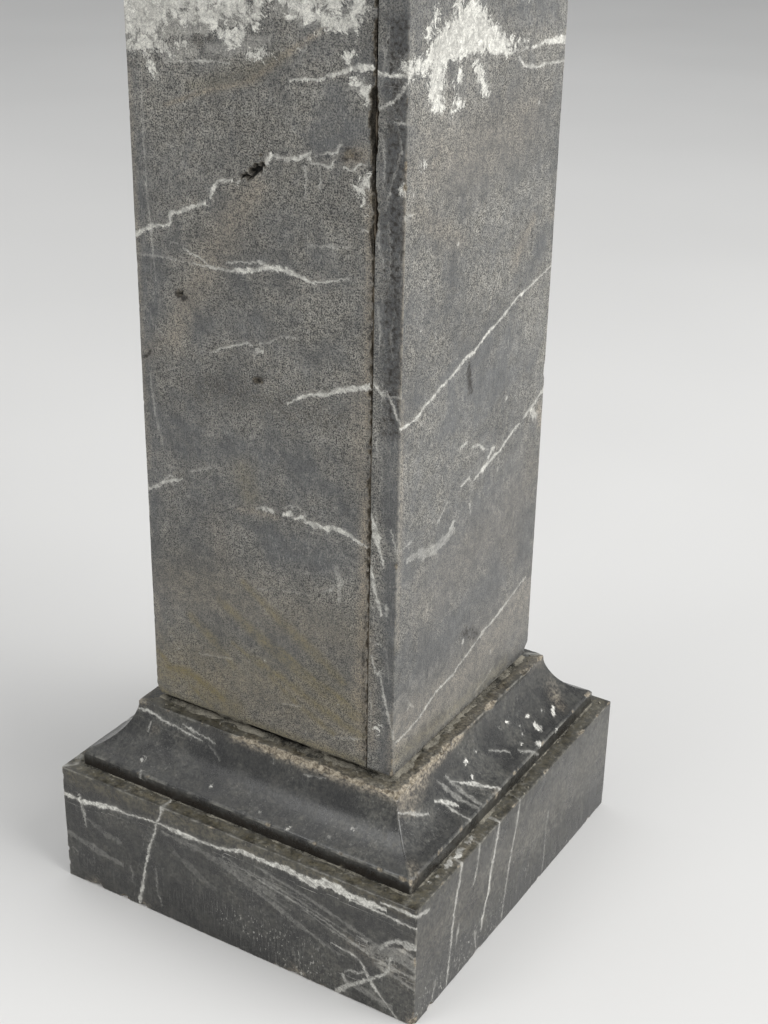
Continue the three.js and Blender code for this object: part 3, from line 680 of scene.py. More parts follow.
def worn_radius(points, radius, length, seed):
    """A radius that wear has made uneven along an arris, over about that length."""
    slow, fine = solid_noise(points, length, seed), solid_noise(points, FINE_WEAR, seed + 1)
    return radius * (0.45 + 0.9 * slow + 0.5 * fine)


def ease_box(points, low, high, radius, seed):
    """Rounds the arrises of a box."""
    worn = worn_radius(points, radius, BOX_WEAR, seed)[:, None]
    core = np.clip(points, low + worn, high - worn)
    away = points - core
    reach = np.maximum(np.linalg.norm(away, axis=1, keepdims=True), TINY)
    return np.where(reach > worn, core + away / reach * worn, points)


def ease_mitres(points, radius, seed):
    """Rounds the four upright or sloping corners of a square course."""
    worn = worn_radius(points, radius, MITRE_WEAR, seed)
    core = np.maximum(np.abs(points[:, :2]).max(axis=1) - worn, 0)[:, None]
    held = np.clip(points[:, :2], -core, core)
    away = points[:, :2] - held
    reach = np.maximum(np.linalg.norm(away, axis=1), TINY)
    outside = reach > worn
    points[outside, :2] = (held + away / reach[:, None] * worn[:, None])[outside]
    return points


# Depths at which a break counts as fully crushed and fully soiled, in millimetres
CRUSHED_AT = 0.4
SOILED_AT = 0.8
SMALLEST_LUMP = 0.8


def knock(points, normals, breaks, seed):
    """Presses each break into the stone and returns how broken and how dirty every vertex is."""
    broken, dirt = np.zeros(len(points)), np.zeros(len(points))
    for i, (*form, soil) in enumerate(breaks):
        centre, radii = np.reshape(form, (2, 3)).astype(float)
        near = np.nonzero((np.abs(points - centre) < radii * 1.5).all(axis=1))[0]
        if not len(near):
            continue
        small = max(radii.min(), SMALLEST_LUMP)
        place = points[near]
        ragged, fine = (
            np.stack([solid_noise(place, small * share, first + 3 * i + k) - 0.5 for k in range(3)], axis=1)
            for share, first in ((0.9, seed), (0.35, seed + 7))
        )
        q = (place + small * (0.8 * ragged + 0.35 * fine) - centre) / radii
        inside = (q * q).sum(axis=1) < 1
        if not inside.any():
            continue
        into = -normals[near[inside]].mean(axis=0)
        into /= max(np.linalg.norm(into), TINY)
        e = into / radii
        b, a = q[inside] @ e, e @ e
        travel = (-b + np.sqrt(np.maximum(b * b - a * ((q[inside] ** 2).sum(axis=1) - 1), 0))) / a
        rows = near[inside]
        points[rows] += travel[:, None] * into
        broken[rows] = np.maximum(broken[rows], np.clip(travel / CRUSHED_AT, 0, 1))
        dirt[rows] = np.maximum(dirt[rows], soil * np.clip(travel / SOILED_AT, 0, 1))
    return broken, dirt


SMALLEST_NICK = 0.5
NICK_DIRT = 0.25


def small_breaks(edges, seed):
    """Nicks of handling along arrises: (start, end, how many, largest radius) for each."""
    rng = np.random.default_rng(seed)
    found = []
    for start, end, many, largest in edges:
        start, end = np.array(start, float), np.array(end, float)
        for _ in range(many):
            centre = start + (end - start) * rng.random()
            size = SMALLEST_NICK + (largest - SMALLEST_NICK) * rng.random() ** 3
            radii = size * (0.7 + 0.7 * rng.random(3))
            along = int(np.argmax(np.abs(end - start)))
            radii[along] *= 1.2 + 1.4 * rng.random()
            found.append((*centre, *radii, NICK_DIRT * rng.random()))
    return found


# Colours and nodes

MAP_SPAN = 1200.0
RANGE, NOISE, VECTOR = "ShaderNodeMapRange", "ShaderNodeTexNoise", "ShaderNodeVectorMath"
PARTS, SHADER = "ShaderNodeSeparateXYZ", "ShaderNodeBsdfPrincipled"
STORE, DICE = "GeometryNodeStoreNamedAttribute", "FunctionNodeRandomValue"
# Kinds of node that come with a setting
MIX = ("ShaderNodeMix", {"data_type": "RGBA"})
PLUS, MINUS, TIMES, TIMES_PLUS, POWER, SIZE, MOST = (
    ("ShaderNodeMath", {"operation": name})
    for name in ("ADD", "SUBTRACT", "MULTIPLY", "MULTIPLY_ADD", "POWER", "ABSOLUTE", "MAXIMUM")
)


def linear(code):
    """An sRGB hex colour as linear RGBA."""
    parts = [int(code[i : i + 2], 16) / 255 for i in (1, 3, 5)]
    return tuple(p / 12.92 if p <= 0.04045 else ((p + 0.055) / 1.055) ** 2.4 for p in parts) + (1.0,)


def add(tree, kind, *values, out=0, **settings):
    """Adds a node, sets its properties, fills its sockets in order (None skips one) and returns an output."""
    kind, usual = kind if isinstance(kind, tuple) else (kind, {})
    node = tree.nodes.new(kind)
    for name, value in (usual | settings).items():
        setattr(node, name, value)
    for socket, value in zip([s for s in node.inputs if s.enabled], values):
        if isinstance(value, bpy.types.NodeSocket):
            tree.links.new(value, socket)
        elif value is not None:
            socket.default_value = value
    if isinstance(out, str):
        return node.outputs[out]
    shown = [s for s in node.outputs if s.enabled]
    return shown[out] if shown else None


def inputs_of(tree, sockets):
    """Gives a geometry tree its named inputs and its output, and returns the inputs."""
    for name, kind in sockets:
        tree.interface.new_socket(name, in_out="INPUT", socket_type=kind)
    tree.interface.new_socket("Geometry", in_out="OUTPUT", socket_type="NodeSocketGeometry")
    return tree.nodes.new("NodeGroupInput").outputs


def course_tree():
    """Geometry nodes that sweep an outline round a plan, for every square and rectangular piece."""
    tree = bpy.data.node_groups.new("Swept course", "GeometryNodeTree")
    given = inputs_of(
        tree,
        [
            ("Geometry", "NodeSocketGeometry"),
            ("Outline", "NodeSocketObject"),
            ("Plan", "NodeSocketObject"),
            ("Centre", "NodeSocketVector"),
            ("Weld distance", "NodeSocketFloat"),
            ("Stone", "NodeSocketMaterial"),
        ],
    )
    outline = add(tree, "GeometryNodeObjectInfo", given["Outline"], out="Geometry")
    plan = add(tree, "GeometryNodeObjectInfo", given["Plan"], out="Geometry")
    rows = add(tree, "GeometryNodeAttributeDomainSize", outline)
    columns = add(tree, "GeometryNodeAttributeDomainSize", plan)
    grid = add(tree, "GeometryNodeMeshGrid", 1.0, 1.0, columns, rows)
    index = add(tree, "GeometryNodeInputIndex")
    place = add(tree, "GeometryNodeInputPosition")
    row = add(tree, "FunctionNodeIntegerMath", index, rows, operation="MODULO")
    column = add(tree, "FunctionNodeIntegerMath", index, rows, operation="DIVIDE_FLOOR")
    at_row = add(tree, "GeometryNodeSampleIndex", outline, place, row, data_type="FLOAT_VECTOR")
    at_column = add(tree, "GeometryNodeSampleIndex", plan, place, column, data_type="FLOAT_VECTOR")
    profile = add(tree, PARTS, at_row).node.outputs
    around = add(tree, PARTS, at_column).node.outputs
    spread = add(tree, VECTOR, at_column, profile["X"], operation="SCALE")
    flat = add(tree, VECTOR, spread, (1.0, 1.0, 0.0), operation="MULTIPLY")
    high = add(tree, "ShaderNodeCombineXYZ", 0.0, 0.0, profile["Z"])
    raised = add(tree, VECTOR, flat, high, operation="ADD")
    final = add(tree, VECTOR, raised, given["Centre"], operation="ADD")
    share = add(tree, RANGE, profile["Y"], -MAP_SPAN, MAP_SPAN, 0.0, 1.0)
    unrolled = add(tree, "ShaderNodeCombineXYZ", around["Z"], share, 0.0)
    risen = add(tree, STORE, grid, None, "rise", profile["Y"], data_type="FLOAT")
    mapped = add(tree, STORE, risen, None, "OFBake", unrolled, data_type="FLOAT2", domain="CORNER")
    shaped = add(tree, "GeometryNodeSetPosition", mapped, None, final)
    welded = add(tree, "GeometryNodeMergeByDistance", shaped, None, given["Weld distance"])
    real = add(tree, "GeometryNodeRealizeInstances", welded)
    dressed = add(tree, "GeometryNodeSetMaterial", real, None, given["Stone"])
    add(tree, "NodeGroupOutput", dressed)
    return tree


def crumb_tree():
    """Geometry nodes that scatter irregular crumbs of mortar over a ledge."""
    tree = bpy.data.node_groups.new("Scattered crumbs", "GeometryNodeTree")
    given = inputs_of(
        tree,
        [
            ("Geometry", "NodeSocketGeometry"),
            ("Ledge", "NodeSocketObject"),
            ("Crumbs in a square centimetre", "NodeSocketFloat"),
            ("Smallest", "NodeSocketFloat"),
            ("Largest", "NodeSocketFloat"),
            ("Seed", "NodeSocketInt"),
            ("Mortar", "NodeSocketMaterial"),
        ],
    )
    ledge = add(tree, "GeometryNodeObjectInfo", given["Ledge"], out="Geometry")
    likely = add(tree, "GeometryNodeInputNamedAttribute", "likely", data_type="FLOAT")
    per_mm = add(tree, TIMES, given["Crumbs in a square centimetre"], 0.01)
    density = add(tree, TIMES, per_mm, likely)
    points = add(tree, "GeometryNodeDistributePointsOnFaces", ledge, None, density, given["Seed"])
    ball = add(tree, "GeometryNodeMeshIcoSphere", 1.0, 2)
    turn = add(tree, DICE, (0.0, 0.0, 0.0), (math.tau,) * 3, None, 1, data_type="FLOAT_VECTOR")
    dice = add(tree, DICE, 0.0, 1.0, None, 2, data_type="FLOAT")
    skew = add(tree, POWER, dice, 2.5)
    size = add(tree, RANGE, skew, 0.0, 1.0, given["Smallest"], given["Largest"])
    squash = add(tree, DICE, (0.7, 0.6, 0.4), (1.2, 1.0, 0.7), None, 3, data_type="FLOAT_VECTOR")
    scale = add(tree, VECTOR, squash, size, operation="SCALE")
    placed = add(tree, "GeometryNodeInstanceOnPoints", points, None, ball, None, None, turn, scale)
    real = add(tree, "GeometryNodeRealizeInstances", placed)
    place = add(tree, "GeometryNodeInputPosition")
    lumps = add(tree, NOISE, place, 0.9, 2.0, out="Color")
    centred = add(tree, VECTOR, lumps, (0.5, 0.5, 0.5), operation="SUBTRACT")
    pushed = add(tree, VECTOR, centred, 0.7, operation="SCALE")
    lumpy = add(tree, "GeometryNodeSetPosition", real, None, None, pushed)
    dressed = add(tree, "GeometryNodeSetMaterial", lumpy, None, given["Mortar"])
    add(tree, "NodeGroupOutput", dressed)
    return tree


def polyline(name, points):
    """A helper object whose vertices are a list of points."""
    mesh = bpy.data.meshes.new(name)
    mesh.from_pydata([tuple(p) for p in points], [(i, i + 1) for i in range(len(points) - 1)], [])
    helper = bpy.data.objects.new(name, mesh)
    bpy.context.scene.collection.objects.link(helper)
    return helper


def drop(*helpers):
    """Removes helper objects and their meshes."""
    for helper in helpers:
        data = helper.data
        bpy.data.objects.remove(helper)
        bpy.data.meshes.remove(data)


def grown(name, tree, values):
    """Runs a geometry node tree on an empty object and keeps its result as a plain mesh."""
    piece = bpy.data.objects.new(name, bpy.data.meshes.new(name))
    bpy.context.scene.collection.objects.link(piece)
    modifier = piece.modifiers.new("Shape", "NODES")
    modifier.node_group = tree
    for item in tree.interface.items_tree:
        if item.item_type == "SOCKET" and item.in_out == "INPUT" and item.name in values:
            modifier[item.identifier] = values[item.name]
    bpy.context.view_layer.update()
    graph = bpy.context.evaluated_depsgraph_get()
    mesh = bpy.data.meshes.new_from_object(piece.evaluated_get(graph), depsgraph=graph)
    piece.modifiers.clear()
    empty = piece.data
    piece.data = mesh
    bpy.data.meshes.remove(empty)
    mesh.name = name
    return piece


# Places of the grid lines next to an arris, in millimetres from it
EASED = (0.0, 0.35, 0.8, 1.4, 2.2)


def stations(low, high, step):
    """Places along an edge, close together at both ends for the arrises."""
    ends = [e for e in EASED if e < (high - low) / 2]
    first, last = low + ends[-1], high - ends[-1]
    many = max(1, round((last - first) / step))
    middle = [first + (last - first) * i / many for i in range(many + 1)]
    return [low + e for e in ends[:-1]] + middle + [high - e for e in reversed(ends[:-1])]


def rectangle(low, high, steps):
    """A plan as (x, y, share of the girth) from the front left corner round to itself."""
    (x0, y0), (x1, y1) = low, high
    front = [(x, y0) for x in stations(x0, x1, steps[0])]
    right = [(x1, y) for y in stations(y0, y1, steps[1])][1:]
    back = [(x, y1) for x in reversed(stations(x0, x1, steps[2]))][1:]
    left = [(x0, y) for y in reversed(stations(y0, y1, steps[3]))][1:]
    plan = np.array(front + right + back + left)
    girth = np.concatenate([[0], np.cumsum(np.linalg.norm(np.diff(plan, axis=0), axis=1))])
    return np.column_stack([plan, girth / girth[-1]])


def outline_of(corners, foot):
    """An outline of (half width, length up, height) through corners of (half width, height, next step)."""
    found = []
    for (h0, z0, step), (h1, z1, _) in zip(corners, corners[1:]):
        length = math.hypot(h1 - h0, z1 - z0)
        for place in [0, length] if step is None else stations(0, length, step):
            found.append((h0 + (h1 - h0) * place / length, z0 + (z1 - z0) * place / length))
    found = np.array([p for i, p in enumerate(found) if i == 0 or math.dist(p, found[i - 1]) > 0.01])
    rise = np.concatenate([[0], np.cumsum(np.linalg.norm(np.diff(found, axis=0), axis=1))])
    return np.column_stack([found[:, 0], rise - foot, found[:, 1]])


def cove(start, end, radius, step):
    """Corners along a hollow arc that bulges towards the axis."""
    (h0, z0), (h1, z1) = start, end
    chord = math.hypot(h1 - h0, z1 - z0)
    rise = math.sqrt(radius * radius - chord * chord / 4)
    centre = ((h0 + h1) / 2 + (z1 - z0) / chord * rise, (z0 + z1) / 2 - (h1 - h0) / chord * rise)
    first = math.atan2(z0 - centre[1], h0 - centre[0])
    turn = math.remainder(math.atan2(z1 - centre[1], h1 - centre[0]) - first, math.tau)
    many = math.ceil(radius * abs(turn) / step)
    angles = [first + turn * i / many for i in range(many + 1)]
    return [(centre[0] + radius * math.cos(a), centre[1] + radius * math.sin(a), None) for a in angles]


WELD = 0.02


def sweep(name, plan, outline, centre, stone):
    """Sweeps an outline round a plan, both in millimetres, and returns the piece."""
    tree = bpy.data.node_groups.get("Swept course") or course_tree()
    lines = [polyline("outline", outline), polyline("plan", plan)]
    values = {"Outline": lines[0], "Plan": lines[1], "Centre": centre, "Weld distance": WELD, "Stone": stone}
    piece = grown(name, tree, values)
    drop(*lines)
    return piece


# Bends of the surface between which an arris starts to count and counts fully, in 1/mm
ARRIS_BEND = (0.25, 1.1)
LEAST_STEP = 0.04


def curvature(mesh, points):
    """How sharply each vertex stands out, from 0 on a flat face to 1 on a worn arris."""
    normals = read(mesh.vertices, "normal", 3)
    ends = np.empty(len(mesh.edges) * 2, np.int32)
    mesh.edges.foreach_get("vertices", ends)
    ends = ends.reshape(-1, 2)
    step = points[ends[:, 1]] - points[ends[:, 0]]
    turn = normals[ends[:, 1]] - normals[ends[:, 0]]
    bend = (turn * step).sum(axis=1) / np.maximum((step * step).sum(axis=1), LEAST_STEP)
    most = np.zeros(len(points))
    np.maximum.at(most, ends[:, 0], bend)
    np.maximum.at(most, ends[:, 1], bend)
    return smooth(most, *ARRIS_BEND)


def set_points(mesh, points):
    """Moves the vertices."""
    mesh.vertices.foreach_set("co", np.ascontiguousarray(points, np.float32).ravel())
    mesh.update()


def hand_over(piece, points, node=None):
    """Sets the finished vertices in metres and gives the piece to the frame."""
    set_points(piece.data, points / MM)
    if "rise" in piece.data.attributes:
        piece.data.attributes.remove(piece.data.attributes["rise"])
    piece.data.shade_smooth()
    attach(piece, "root")
    if node:
        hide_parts(node)


# Each stone's own seed, and how far its faces swell and sink in millimetres
STONE_SEEDS = {
    "plinth": 11, "base_moulding": 23, "cap_moulding": 31, "shaft_front_slab": 41, "shaft_right_slab": 48,
    "shaft_back_slab": 55, "shaft_left_slab": 62, "top_slab": 67,
}
SWELL = {"shaft": 0.25, "top": 0.15, "plinth": 0.08, "base": 0.08, "cap": 0.08}
SWELL_LENGTH = 45
SEAM_OVERLAP = 0.4


def finish_stone(piece, node, edges, radius, box=None, wild_sides=()):
    """Wears a swept stone down, marks it, and gives it to the frame in place of its node."""
    mesh, seed = piece.data, STONE_SEEDS[node]
    points = read(mesh.vertices, "co", 3)
    rise = read(mesh.attributes["rise"].data, "value", 1)
    if box is None:
        points = ease_mitres(points, radius, seed)
    else:
        points = ease_box(points, *box, radius, seed)
    set_points(mesh, points)
    normals = read(mesh.vertices, "normal", 3)
    swell = SWELL[node.split("_")[0]]
    points = points + normals * swell * (solid_noise(points, SWELL_LENGTH, seed + 5) - 0.5)[:, None]
    breaks = BREAKS.get(node, []) + small_breaks(edges, SEED + seed)
    if node == "shaft_front_slab":
        breaks += seam_breaks(box[1][0] + SEAM_OVERLAP, box[0][1], SEED)
    broken, dirt = knock(points, normals, breaks, seed)
    set_points(mesh, points)
    store(mesh, "wear", np.stack([broken, dirt, curvature(mesh, points)], axis=1))
    lay_marks(mesh, node, points, rise, wild_sides)
    hand_over(piece, points, node)


def box_mm(node):
    """Lowest and highest corner of a frame node in millimetres."""
    low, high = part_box(node)
    return np.array(low) * MM, np.array(high) * MM


# Materials

MARBLE_IOR = 1.66
# Sizes of the patterns in millimetres: slow clouds, blotches, patches, holes in the calcite, ragged edges
CLOUD, BLOTCH, PATCH, HOLE, RAGGED = 60, 24, 9, 7, 3.2
# Stretch of the upright scuffs, of the chips and of the drifting veins, in 1/mm
SCUFF_SCALE, CHIP_SCALE, DRIFT_SCALE = (1.1, 1.1, 0.07), (0.62, 0.62, 0.3), (0.006, 0.006, 0.017)
# Sand and damp patches of mortar in millimetres
SAND, DAMP = 1.1, 12

# Honed and then etched by weather, so its grains stand open: a dull face with a fine pale and dark speckle.
# The real grains are about half this size, too fine to show, so they are drawn as coarse as they need to be.
HONED = {
    "grain_size": 1.0, "grain_low": 0.41, "grain_high": 0.58, "open_gain": 1.3, "open_bias": -0.62,
    "vein_wander": 1.1, "vein_edge": 0.55, "holes": 9, "relief": 0.00026, "smooth_rough": 0.34,
    "open_rough": 0.48, "dust": 0.15, "specks": 0.35, "streaks": 0.12, "mass_edge": 1.3, "blotch": 0.4,
    "halo": 0.24, "fringe": 5, "dither": 2.8, "crackle": 0.4, "tan": 0.2, "gloss": 0.3, "strewn": 0.6,
    "fleck_low": 0.6, "fleck_high": 0.66, "clouding": 0.16,
}
# Polished once and dulled by handling: a dark, close face with soft reflections and pale dust on its ledges
POLISHED = {
    "grain_size": 2.4, "grain_low": 0.3, "grain_high": 0.7, "open_gain": 1.4, "open_bias": -0.8,
    "vein_wander": 0.9, "vein_edge": 0.6, "holes": 3, "relief": 0.00004, "smooth_rough": 0.2,
    "open_rough": 0.34, "dust": 0.6, "specks": 0.7, "streaks": 0.2, "mass_edge": 0.6, "blotch": 0.8,
    "halo": 0.3, "fringe": 1.6, "dither": 1.4, "crackle": 0.4, "tan": 0.1, "gloss": 0.42, "strewn": 0.25,
    "fleck_low": 0.62, "fleck_high": 0.665, "clouding": 0.34,
}


def blank(name):
    """A material without nodes, its tree, and the place on the object in millimetres."""
    stuff = bpy.data.materials.new(name)
    stuff.use_nodes = True
    tree = stuff.node_tree
    tree.nodes.clear()
    place = add(tree, "ShaderNodeTexCoord", out="Object")
    return stuff, tree, add(tree, VECTOR, place, MM, operation="SCALE")


def marble(name, look, dark, light, close):
    """Black limestone marble with white calcite veins, drawn from the marks laid on the vertices."""
    finish = bpy.context.scene.pedestal_finish
    stuff, tree, at = blank(name)
    marks = [
        add(tree, PARTS, add(tree, "ShaderNodeAttribute", attribute_name=key, out="Vector")).node.outputs
        for key in ("stone", "stain", "wear", *CHANNELS)
    ]
    stone, stain, wear, *channels = marks

    # Slow clouding, patches, ragged edges, holes and the fine grain
    cloud = add(tree, NOISE, at, 1 / CLOUD, 4.0, 0.62)
    patchy = add(tree, NOISE, at, 1 / PATCH, 3.0, 0.6)
    ragged = add(tree, NOISE, at, 1 / RAGGED, 3.0, 0.7)
    holes = add(tree, NOISE, at, 1 / HOLE, 5.0, 0.72, None, 1.1)
    grit = add(tree, NOISE, at, 1 / look["grain_size"], 2.0, 0.7, None, 0.3)
    grit = add(tree, MIX, 0.3, grit, ragged, data_type="FLOAT")
    drawn_out = add(tree, "ShaderNodeMapping", at, None, (0.06, -0.04, 0.0), SCUFF_SCALE)
    scuffs = add(tree, NOISE, drawn_out, 1.0, 3.0, 0.65)
    scuffs = add(tree, RANGE, scuffs, 0.52, 0.68)
    chips = add(tree, "ShaderNodeMapping", at, None, (0.3, 0.2, 0.0), CHIP_SCALE)
    chips = add(tree, NOISE, chips, 1.0, 2.0, 0.6)

    # Veins, and the faint veils of painted sheen laid in the same channels: distance from the middle, pushed
    # about by noise, against the half width
    push = add(tree, RANGE, ragged, 0.25, 0.75, -look["vein_wander"], look["vein_wander"], clamp=False)
    thick = add(tree, RANGE, patchy, 0.3, 0.7, 0.3, 1.35, clamp=False)
    crystals = add(tree, RANGE, grit, 0.2, 0.8, -look["dither"], look["dither"], clamp=False)
    push = add(tree, TIMES_PLUS, crystals, 0.25, push)
    veins, halo = None, None
    for mark in channels:
        moved = add(tree, PLUS, mark[0], push)
        away = add(tree, SIZE, moved)
        inside = add(tree, TIMES_PLUS, mark[1], thick, -0.15)
        depth = add(tree, MINUS, inside, away)
        edge = add(tree, RANGE, depth, -look["vein_edge"], look["vein_edge"])
        drawn = add(tree, TIMES, edge, mark[2])
        glow = add(tree, RANGE, depth, -2.6, 0.0, 0.0, look["halo"])
        glow = add(tree, TIMES, glow, mark[2])
        veins = drawn if veins is None else add(tree, MOST, veins, drawn)
        halo = glow if halo is None else add(tree, MOST, halo, glow)

    wisps = add(tree, RANGE, holes, 0.32, 0.5, 0.62, 1.0)
    veins = add(tree, TIMES, veins, wisps)

    # Calcite masses, with holes and islands towards their edges
    lift = add(tree, RANGE, holes, 0.2, 0.8, -look["holes"], look["holes"], clamp=False)
    filled = add(tree, PLUS, stone[0], lift)
    filled = add(tree, PLUS, filled, crystals)
    masses = add(tree, RANGE, filled, -look["mass_edge"], look["mass_edge"])
    fringe = add(tree, RANGE, filled, -look["fringe"], 0.0, 0.0, look["halo"])
    halo = add(tree, MOST, halo, fringe)
    veins = add(tree, MOST, veins, masses)

    for crazed, width in ((ragged, 0.03), (patchy, 0.014)):
        crackle = add(tree, MINUS, crazed, 0.5)
        crackle = add(tree, SIZE, crackle)
        crackle = add(tree, RANGE, crackle, 0.0, width, look["crackle"], 1.0)
        veins = add(tree, TIMES, veins, crackle)

    # Veins of the sides out of sight: the middle line of a slow noise, broken up by patches
    tilted = add(tree, "ShaderNodeMapping", at, None, (0.25, 0.32, 0.0), DRIFT_SCALE)
    drift = add(tree, NOISE, tilted, 1.0, 4.0, 0.55, None, 0.3)
    line = add(tree, MINUS, drift, 0.5)
    line = add(tree, SIZE, line)
    line = add(tree, RANGE, line, 0.012, 0.002)
    gate = add(tree, RANGE, patchy, 0.38, 0.62)
    line = add(tree, TIMES, line, gate)
    line = add(tree, TIMES, line, stone[2])
    veins = add(tree, MOST, veins, line)

    # Body: a close dark ground, opening into pale and dark grains; the opening also paints the sheen on the
    # plinth's right face, lighter above and darker at the foot
    blotches = add(tree, NOISE, at, 1 / BLOTCH, 4.0, 0.6, None, 0.5)
    blotches = add(tree, RANGE, blotches, 0.35, 0.65, -look["blotch"], look["blotch"])
    open_share = add(tree, TIMES_PLUS, cloud, look["open_gain"], look["open_bias"])
    open_share = add(tree, PLUS, open_share, stone[1])
    open_share = add(tree, PLUS, open_share, blotches)
    open_share = add(tree, RANGE, open_share, 0.0, 1.0, 0.24, 1.0)
    grains = add(tree, RANGE, grit, look["grain_low"], look["grain_high"], interpolation_type="SMOOTHSTEP")
    tanned = add(tree, RANGE, holes, 0.42, 0.62, 0.0, look["tan"])
    pale = add(tree, MIX, tanned, light, finish.clay_pale)
    grained = add(tree, MIX, grains, dark, pale)
    body = add(tree, MIX, open_share, close, grained)
    tone = add(tree, RANGE, patchy, 0.3, 0.7, 0.76, 1.2)
    slow = add(tree, RANGE, cloud, 0.35, 0.65, 1 - look["clouding"], 1 + look["clouding"])
    tone = add(tree, TIMES, tone, slow)
    body = add(tree, MIX, 1.0, body, tone, blend_type="MULTIPLY")

    # Fine pale flecks, scuffs that run with the height, and the greyed stone beside the veins
    fleck = add(tree, RANGE, chips, look["fleck_low"], look["fleck_high"], 0.0, look["specks"])
    strewn = add(tree, RANGE, cloud, 0.48, 0.56)
    fleck = add(tree, TIMES, fleck, strewn)
    dense = add(tree, RANGE, stone[1], 0.68, 0.4, look["strewn"], 1.0)
    fleck = add(tree, TIMES, fleck, dense)
    body = add(tree, MIX, fleck, body, finish.vein_grey)
    closed = add(tree, RANGE, stone[1], 0.75, 0.2, 0.3, 1.0)
    scuffed = add(tree, TIMES, scuffs, closed)
    scuffed = add(tree, TIMES, scuffed, look["streaks"])
    body = add(tree, MIX, scuffed, body, finish.vein_grey)
    haze = add(tree, RANGE, grit, 0.35, 0.65)
    haze = add(tree, TIMES, haze, halo)
    body = add(tree, MIX, haze, body, finish.vein_grey)

    # Stains soak into the stone, so the veins still show through them
    soak = add(tree, RANGE, patchy, 0.35, 0.62, 0.5, 1.3)
    sandy = add(tree, MIX, add(tree, RANGE, grit, 0.45, 0.65), finish.clay, finish.clay_pale)
    for kind, colour, least in (("X", sandy, 0.15), ("Y", finish.olive, 0.3)):
        share = add(tree, RANGE, grit, 0.4, 0.6, least, 1.3)
        share = add(tree, TIMES, share, soak)
        share = add(tree, TIMES, share, stain[kind], use_clamp=True)
        body = add(tree, MIX, share, body, colour)
    pitted = add(tree, TIMES_PLUS, ragged, 2.2, stain["Z"])
    pitted = add(tree, TIMES_PLUS, grit, 0.9, pitted)
    pitted = add(tree, RANGE, pitted, 1.85, 2.35, 0.0, 0.95)
    gritty = add(tree, RANGE, stain["Z"], 0.02, 0.2)
    pitted = add(tree, TIMES, pitted, gritty)
    body = add(tree, MIX, pitted, body, finish.umber)

    mottle = add(tree, RANGE, holes, 0.38, 0.64)
    white = add(tree, MIX, mottle, finish.vein_grey, finish.vein_white)
    surface = add(tree, MIX, veins, body, white)

    # Rubbed arrises, fresh breaks, soil in hollows and dust on what faces up
    rub = add(tree, RANGE, patchy, 0.45, 0.65, 0.0, 0.7)
    rub = add(tree, TIMES, rub, wear[2])
    surface = add(tree, MIX, rub, surface, finish.rubbed)
    crumbs = add(tree, RANGE, grit, 0.38, 0.62)
    crushed = add(tree, MIX, crumbs, finish.clay_deep, finish.clay_pale)
    broken = add(tree, RANGE, ragged, 0.3, 0.5, 0.55, 1.0)
    broken = add(tree, TIMES, broken, wear[0])
    surface = add(tree, MIX, broken, surface, crushed)
    facing = add(tree, PARTS, add(tree, "ShaderNodeNewGeometry", out="Normal")).node.outputs
    upward = add(tree, RANGE, facing[2], 0.88, 0.99, 0.0, look["dust"])
    lying = add(tree, RANGE, patchy, 0.35, 0.6)
    upward = add(tree, TIMES, upward, lying)
    scratched = add(tree, RANGE, ragged, 0.54, 0.7, 0.0, 0.55)
    dusty = add(tree, MIX, scratched, finish.dust, finish.vein_grey)
    surface = add(tree, MIX, upward, surface, dusty)
    surface = add(tree, MIX, wear[1], surface, finish.soil)

    rough = add(tree, RANGE, open_share, 0.0, 1.0, look["smooth_rough"], look["open_rough"])
    smudge = add(tree, RANGE, holes, 0.3, 0.7, -0.04, 0.06)
    rough = add(tree, PLUS, rough, smudge)
    dull = add(tree, MOST, broken, wear[1])
    dull = add(tree, MOST, dull, upward)
    rough = add(tree, MIX, dull, rough, 0.85, data_type="FLOAT")

    raised = add(tree, TIMES, grains, open_share)
    crumbly = add(tree, TIMES, ragged, broken)
    height = add(tree, TIMES_PLUS, crumbly, 4.0, raised)
    height = add(tree, TIMES_PLUS, veins, 0.5, height)
    bump = add(tree, "ShaderNodeBump", 1.0, look["relief"], None, height)

    shader = tree.nodes.new(SHADER)
    shader.inputs["IOR"].default_value = MARBLE_IOR
    shader.inputs["Specular IOR Level"].default_value = look["gloss"]
    tree.links.new(surface, shader.inputs["Base Color"])
    tree.links.new(rough, shader.inputs["Roughness"])
    tree.links.new(bump, shader.inputs["Normal"])
    add(tree, "ShaderNodeOutputMaterial", shader.outputs[0])
    return stuff


def earthy(name, pale, dark, rough, relief):
    """Mortar, joint filling or caked dust: a matt, sandy mix of two colours."""
    stuff, tree, at = blank(name)
    sand = add(tree, NOISE, at, 1 / SAND, 3.0, 0.7)
    patch = add(tree, NOISE, at, 1 / DAMP, 4.0, 0.65)
    share = add(tree, RANGE, patch, 0.35, 0.65)
    fine = add(tree, RANGE, sand, 0.3, 0.7, -0.35, 0.35)
    share = add(tree, PLUS, share, fine, use_clamp=True)
    colour = add(tree, MIX, share, dark, pale)
    bump = add(tree, "ShaderNodeBump", 1.0, relief, None, sand)
    shader = tree.nodes.new(SHADER)
    shader.inputs["Roughness"].default_value = rough
    shader.inputs["Specular IOR Level"].default_value = 0.25
    tree.links.new(colour, shader.inputs["Base Color"])
    tree.links.new(bump, shader.inputs["Normal"])
    add(tree, "ShaderNodeOutputMaterial", shader.outputs[0])
    return stuff


